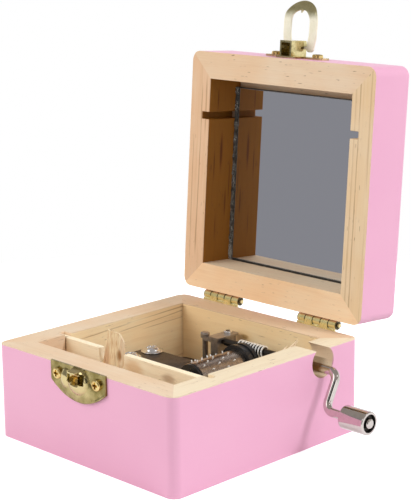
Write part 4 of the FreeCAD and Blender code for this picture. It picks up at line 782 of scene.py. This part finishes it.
def flat_loop():
    """The clasp's loop, made flat and then bent, and two stubs that turn in the hood.

    The flat bar runs up one leg, round half a circle with a small tooth inside it, and down the other leg.
    Near its far end it is bent back: its lean is a smooth step of the way along, and its place is the running
    sum of the lean's cosine and sine.
    """
    outer, inner, reach = 8.85, 4.8, 19.1
    bend, flare = 13.6, math.radians(25.0)
    radius = (outer + inner) / 2
    start = reach - outer
    leg = np.linspace(-1.6, start, 40)[:-1]
    inward = 1.1 * (1 - smooth(leg, -1.6, 6.0))
    turn = np.linspace(0, np.pi, 90)
    x = np.concatenate([-(radius - inward), -radius * np.cos(turn), (radius - inward)[::-1]])
    along = np.concatenate([leg, start + radius * np.sin(turn), leg[::-1]])
    half = np.sqrt(1 - np.clip(-leg / 1.7, 0, 0.94) ** 2) * (outer - inner) / 2
    half = np.concatenate([half, np.full(90, (outer - inner) / 2), half[::-1]])
    tooth = np.where(along > start, 1.5 * np.clip(1 - np.abs(x) / 0.9, 0, 1), 0.0)
    flat = at(x, along, 0.0)
    across = np.cross(np.gradient(flat, axis=0), [0.0, 0.0, 1.0])
    across /= -np.linalg.norm(across, axis=1, keepdims=True)
    pieces = [bar(flat, across, half + tooth, half, 1.0, 24)]
    for side in (-1, 1):
        pieces.append(bar(at(side * np.linspace(2.35, 5.4, 6), 0.0, 0.0), (0.0, 1.0, 0.0), 0.55, 0.55, 1.0))
    table = np.linspace(-3.0, reach + 2, 400)
    angle = flare * smooth(table, bend - 1.2, bend + 1.2)
    step = table[1] - table[0]
    out = np.cumsum(np.cos(angle)) * step
    lift = np.cumsum(np.sin(angle)) * step
    out -= np.interp(0.0, table, out)
    cosine, sine = np.cos(-LOOP_LEAN), np.sin(-LOOP_LEAN)
    turned = []
    for piece in pieces:
        s, t = piece[..., 1], piece[..., 2]
        lean = np.interp(s, table, angle)
        y = -(np.interp(s, table, out) - t * np.sin(lean))
        z = np.interp(s, table, lift) + t * np.cos(lean)
        turned.append(opened(at(piece[..., 0] + CLASP_X, y * cosine - z * sine + LOOP_Y,
                                y * sine + z * cosine + LOOP_Z)))
    return fit(shell("hasp_loop_band", turned, LOOP_BRASS), "clasp_loop", "brass", "hasp_loop")


def torn_fibres():
    """The splintered pine in the divider's notch: flat ovals stacked upwards, thinner and narrower above.

    Furrows ripple round the ovals, a knot hole is a bell shaped dent in the front, the foot spreads to the
    left and the top ends on a wavering line that falls away to the right.
    """
    middle, foot, crown = -10.4, 28.4, 43.7
    turn = np.linspace(0, 2 * np.pi, 120, endpoint=False)
    rise, angle = np.meshgrid(np.linspace(0, 1, 60), turn, indexing="ij")
    half = 5.2 - 0.5 * rise ** 2
    x = half * signed_power(np.cos(angle), 0.45)
    furrow = ripple(x, 5, 9, 2.2) * 0.3
    depth = (1.15 - 0.75 * rise) * (1 + furrow) * signed_power(np.sin(angle), 0.7)
    top = np.minimum(crown - 0.6 * ripple(x, 8, 8, 1.0), 44.0) - 0.022 * np.clip(x + 1.0, 0, None) ** 3
    hole = np.exp(-(((x - 2.9) / 1.3) ** 2 + ((rise - 0.42) / 0.13) ** 2))
    dent = hole * np.where(depth < 0, depth * 0.7, 0)
    spread = np.where(x < 0, 1 + 0.4 * (1 - rise) ** 2, 1)
    points = at(x * spread + middle + 0.5 * rise, DIVIDER_Y - 0.1 + depth - dent + rise ** 2 * 0.5,
                foot + (top - foot) * rise)
    return fit(shell("torn_fibres", [points], TORN_PINE), "divider", "bare_wood")


def rim_splinters():
    """Slivers of wood that stand off the right wall's inner edge: thin tapering bars on bowed lines."""
    share = np.linspace(0, 1, 12)
    width = 0.42 * (1 - share ** 1.5) + 0.03
    grids = []
    for x, y, long, lift, swing in ((37.7, 21.5, 6.5, 2.4, -0.6), (37.7, 24.0, 4.2, 1.6, 0.5),
                                    (37.75, 18.5, 3.4, 1.3, -0.3)):
        path = at(x - 0.7 * share, y + long * share, 37.0 + lift * share + swing * share * (1 - share))
        grids.append(bar(path, (1.0, 0.0, 0.0), width, width, width * 0.7, 8))
    return fit(shell("rim_splinters", grids, TORN_PINE), "base_box", "bare_wood")


def mirror_edge():
    """The mirror's ground edges: a ragged quarter round down its left side and a fine one along its foot."""
    grids = []
    angle = np.linspace(0, np.pi / 2, 8)
    for size, along_x in ((1.25, False), (0.65, True)):
        run = np.linspace(-37.6, 37.6, 160) if along_x else np.linspace(MIRROR_FRONT, INNER_Y - 0.6, 160)
        radius = size * (0.85 + 0.22 * ripple(run, 3, 9, 0.9))
        cosine = np.concatenate([np.multiply.outer(radius, np.cos(angle)), np.zeros((160, 1))], axis=1)
        sine = np.concatenate([np.multiply.outer(radius, np.sin(angle)), np.zeros((160, 1))], axis=1)
        level = MIRROR_FACE - 0.01 - sine
        x, y = (run[:, None], INNER_Y - 0.05 - cosine) if along_x else (-INNER_X + 0.05 + cosine, run[:, None])
        grids.append(opened(at(x, y, level)))
    return fit(shell("mirror_ground_edge", grids, GLASS_EDGE), "lid", "mirror_glass")


def hinge_webs():
    """The base leaf's upper edge under the knuckles: a thin bar along each hinge."""
    y, z, half_length, half_width, thickness = 50.41, 37.55, 9.9, 0.31, 1.3
    grids = []
    for side in (-1, 1):
        run = np.linspace(side * HINGE_MIDDLE - half_length, side * HINGE_MIDDLE + half_length, 6)
        grids.append(bar(at(run, y, z), (0.0, 1.0, 0.0), half_width, half_width, thickness, 16))
    return fit(shell("hinge_webs", grids, HINGE_BRASS), "base_box", "brass")


def comb_screw_heads():
    """Two washer headed screws. Height is a turned profile, washer and dome, less a cross shaped recess."""
    radius = np.array([0.02, 0.35, 0.7, 1.05, 1.4, 1.75, 2.1, 2.45, 2.8, 3.05, 3.25, 3.4, 3.45, 3.7, 4.1,
                       4.4, 4.55, 4.55, 4.4, 0.02])
    level = np.array([2.35, 2.35, 2.34, 2.32, 2.28, 2.22, 2.12, 1.98, 1.78, 1.52, 1.2, 0.95, 0.82, 0.8, 0.78,
                      0.7, 0.5, 0.15, 0.0, 0.0])
    r, angle = np.meshgrid(radius, np.linspace(0, 2 * np.pi, 64, endpoint=False), indexing="ij")
    x, comb_top = -29.1, 23.8
    grids = []
    for y, phase in ((1.0, 0.5), (13.0, 0.25)):
        a, b = np.abs(r * np.cos(angle + phase)), np.abs(r * np.sin(angle + phase))
        cross = (1 - smooth(np.minimum(a, b), 0.25, 0.6)) * (1 - smooth(r, 1.9, 2.5))
        height = level[:, None] - 1.2 * cross * (level[:, None] > 1.2)
        grids.append(at(x + r * np.cos(angle), y + r * np.sin(angle), comb_top + height))
    return fit(shell("comb_screw_heads", grids, SCREW_STEEL), "base_box", "steel", "comb_screws")


for wall, finish in (("base_front_wall", FRONT_PINE), ("base_back_wall", BACK_PINE),
                     ("base_left_wall", LEFT_PINE), ("base_right_wall", RIGHT_PINE)):
    softened(wall, 0.35, "base_box", "painted_wood", finish, 3)
for wall, finish in (("lid_front_wall", LID_FRONT_PINE), ("lid_back_wall", LID_BACK_PINE),
                     ("lid_left_wall", LID_LEFT_PINE), ("lid_right_wall", LID_RIGHT_PINE)):
    softened(wall, 0.35, "lid", "painted_wood", finish, 3)
softened("lid_top_board", 0.12, "lid", "painted_wood", LID_BOARD)
softened("divider_board", 0.3, "divider", "bare_wood", DIVIDER_PINE)
softened("mirror", 0.15, "lid", "mirror_glass", MIRROR)
softened("hasp_plate", 0.12, "lid", "brass", CLASP_BRASS)
pressed_catch()
flat_loop()
torn_fibres()
rim_splinters()
mirror_edge()
hinge_webs()
comb_screw_heads()

for names, finish in ((("floor_board",), FLOOR_PINE), (("mounting_block",), BLOCK_PINE),
                      (("hinge_base_leaves", "hinge_lid_leaves", "hinge_pins", "hinge_base_nails",
                        "hinge_lid_nails"), HINGE_BRASS),
                      (("catch_screws", "hasp_screws"), SCREW_BRASS),
                      (("crank_wire",), WIRE_CHROME), (("crank_knob", "knob_rivet"), KNOB_CHROME),
                      (("bracket_screw", "bedplate_screws", "cylinder_arbor"), SCREW_STEEL),
                      (("worm_shaft",), WORM_STEEL), (("cylinder_pins",), PIN_PAINTED_GLINT_STEEL),
                      (("comb",), COMB_STEEL), (("bedplate",), BED), (("worm_bracket", "bracket_cap"), CAST),
                      (("cylinder",), CYLINDER_METAL), (("cylinder_cap", "drive_ring", "worm_wheel"), BLACK)):
    for name in names:
        dressed(name, finish)


# Stage, light and camera. Lamps and camera are in metres

BOX_MIDDLE = (0.0, 0.0, 0.05)


def floor_disc(radius, rings=24, spokes=96):
    """A flat round floor: points at radius times the square root of a ring's share, all round, at z = 0.

    The radius is in millimetres.
    """
    share = np.sqrt(np.linspace(0.0, 1.0, rings + 1))[1:]
    turn = np.linspace(0.0, 2 * np.pi, spokes, endpoint=False)
    ring, angle = np.meshgrid(share * radius, turn, indexing="ij")
    points = at(ring * np.cos(angle), ring * np.sin(angle), 0.0).reshape(-1, 3)
    index = np.arange(rings * spokes).reshape(rings, spokes)
    ahead = np.roll(index, -1, axis=1)
    quads = np.stack([index[:-1], index[1:], ahead[1:], ahead[:-1]], axis=-1).reshape(-1, 4)
    mesh = bpy.data.meshes.new("floor")
    mesh.from_pydata(points * MM, [], quads.tolist() + [index[0].tolist()])
    piece = bpy.data.objects.new("floor", mesh)
    bpy.context.scene.collection.objects.link(piece)
    return piece


def white_floor():
    """Floor that shows as white to the camera, to gloss and to glass, and still takes the object's shadow."""
    f = Finish("studio_floor")
    path = f.tree.nodes.new("ShaderNodeLightPath")
    seen = Socket(f, path.outputs["Is Camera Ray"]).most(Socket(f, path.outputs["Is Transmission Ray"]))
    glossy = Socket(f, path.outputs["Is Glossy Ray"])
    paper = f.node("ShaderNodeBsdfDiffuse", {}, {"Color": (0.80, 0.80, 0.80)})
    strength = seen * 0.62 + glossy * 0.18
    glow = f.node("ShaderNodeEmission", {}, {"Color": (1.0, 1.0, 1.0), "Strength": strength})
    both = f.node("ShaderNodeAddShader", {}, {0: paper, 1: glow})
    f.node("ShaderNodeOutputMaterial", {}, {"Surface": both})
    return f.material


def studio_sky(world):
    """A white studio, darker on the viewer's side. Gloss sees it darker above, with some bright windows."""
    sky = Finish("studio", world)
    heading = sky.node("ShaderNodeTexCoord", output="Generated")
    right, deep, up = sky.parts(heading)
    path = sky.tree.nodes.new("ShaderNodeLightPath")
    camera_ray, glossy, through = (Socket(sky, path.outputs[f"Is {kind} Ray"])
                                   for kind in ("Camera", "Glossy", "Transmission"))
    viewer_side = (0 - deep).rise(0.15, 0.55) * (1 - up.rise(0.35, 0.75))
    sunny = sky.mix(up.rise(0.05, 0.45), (0.38, 0.375, 0.40), (1.45, 1.43, 1.45))
    soft = sky.mix((right + deep * 0.6).rise(0.1, 0.9) * (1 - viewer_side), (0.48, 0.48, 0.485), sunny)
    soft = sky.mix(viewer_side, soft, (0.50, 0.50, 0.51))
    shine = sky.mix(up.rise(0.22, 0.48), (1.0, 1.0, 1.0), (0.36, 0.33, 0.31))
    shine = sky.mix(viewer_side, shine, (0.27, 0.27, 0.29))
    # Four bright windows and the dark place of the viewer, each round a direction
    for towards, narrow, strength in (((-0.20, -0.75, 0.63), 0.975, 2.2), ((0.68, 0.26, 0.68), 0.985, 3.0),
                                      ((0.95, -0.25, 0.20), 0.970, 1.2), ((0.28, -0.95, 0.15), 0.970, 1.0),
                                      ((0.69, -0.69, 0.23), 0.950, 0.03)):
        facing = sky.node("ShaderNodeVectorMath", {"operation": "DOT_PRODUCT"}, {0: heading, 1: towards},
                          output="Value")
        shine = sky.mix(facing.rise(narrow, narrow + 0.012), shine, (strength,) * 3)
    colour = sky.mix(glossy.most(through), soft, shine)
    colour = sky.mix(camera_ray, colour, (1.0, 1.0, 1.0))
    backdrop = sky.node("ShaderNodeBackground", {}, {"Color": colour, "Strength": 1.0})
    sky.node("ShaderNodeOutputWorld", {}, {"Surface": backdrop})


def lamp(name, towards, distance, size, power, tone=(1.0, 1.0, 1.0)):
    """A square soft lamp in a direction from the box's middle, facing it."""
    light = bpy.data.lights.new(name, "AREA")
    light.shape = "SQUARE"
    light.size = size
    light.energy = power
    light.color = tone
    way = Vector(towards).normalized()
    place = Matrix.Translation(Vector(BOX_MIDDLE) + way * distance)
    holder = bpy.data.objects.new(name, light)
    holder.matrix_world = place @ way.to_track_quat("Z", "Y").to_matrix().to_4x4()
    holder.visible_glossy = False
    bpy.context.scene.collection.objects.link(holder)


floor = floor_disc(radius=300.0)
floor.data.materials.append(white_floor())

world = bpy.data.worlds.new("studio")
bpy.context.scene.world = world
studio_sky(world)

lamp("front_left_lamp", (-0.50, -0.70, 0.50), 1.1, 0.8, 7.2)
lamp("right_back_lamp", (1.0, 0.386, 1.0), 1.0, 0.18, 3.9, (0.95, 0.98, 1.05))

lens = bpy.data.cameras.new("view")
lens.lens = 109.774
lens.sensor_width = 36.0
lens.clip_start = 0.01
camera = bpy.data.objects.new("view", lens)
# Its columns are the camera's right, its up, its back and its place
camera.matrix_world = Matrix(((0.7076, -0.1555, 0.6893, 0.40846), (0.7066, 0.1706, -0.6868, -0.39162),
                              (-0.0108, 0.9730, 0.2306, 0.20724), (0.0, 0.0, 0.0, 1.0)))
bpy.context.scene.collection.objects.link(camera)
bpy.context.scene.camera = camera
bpy.context.scene.view_settings.view_transform = "Standard"
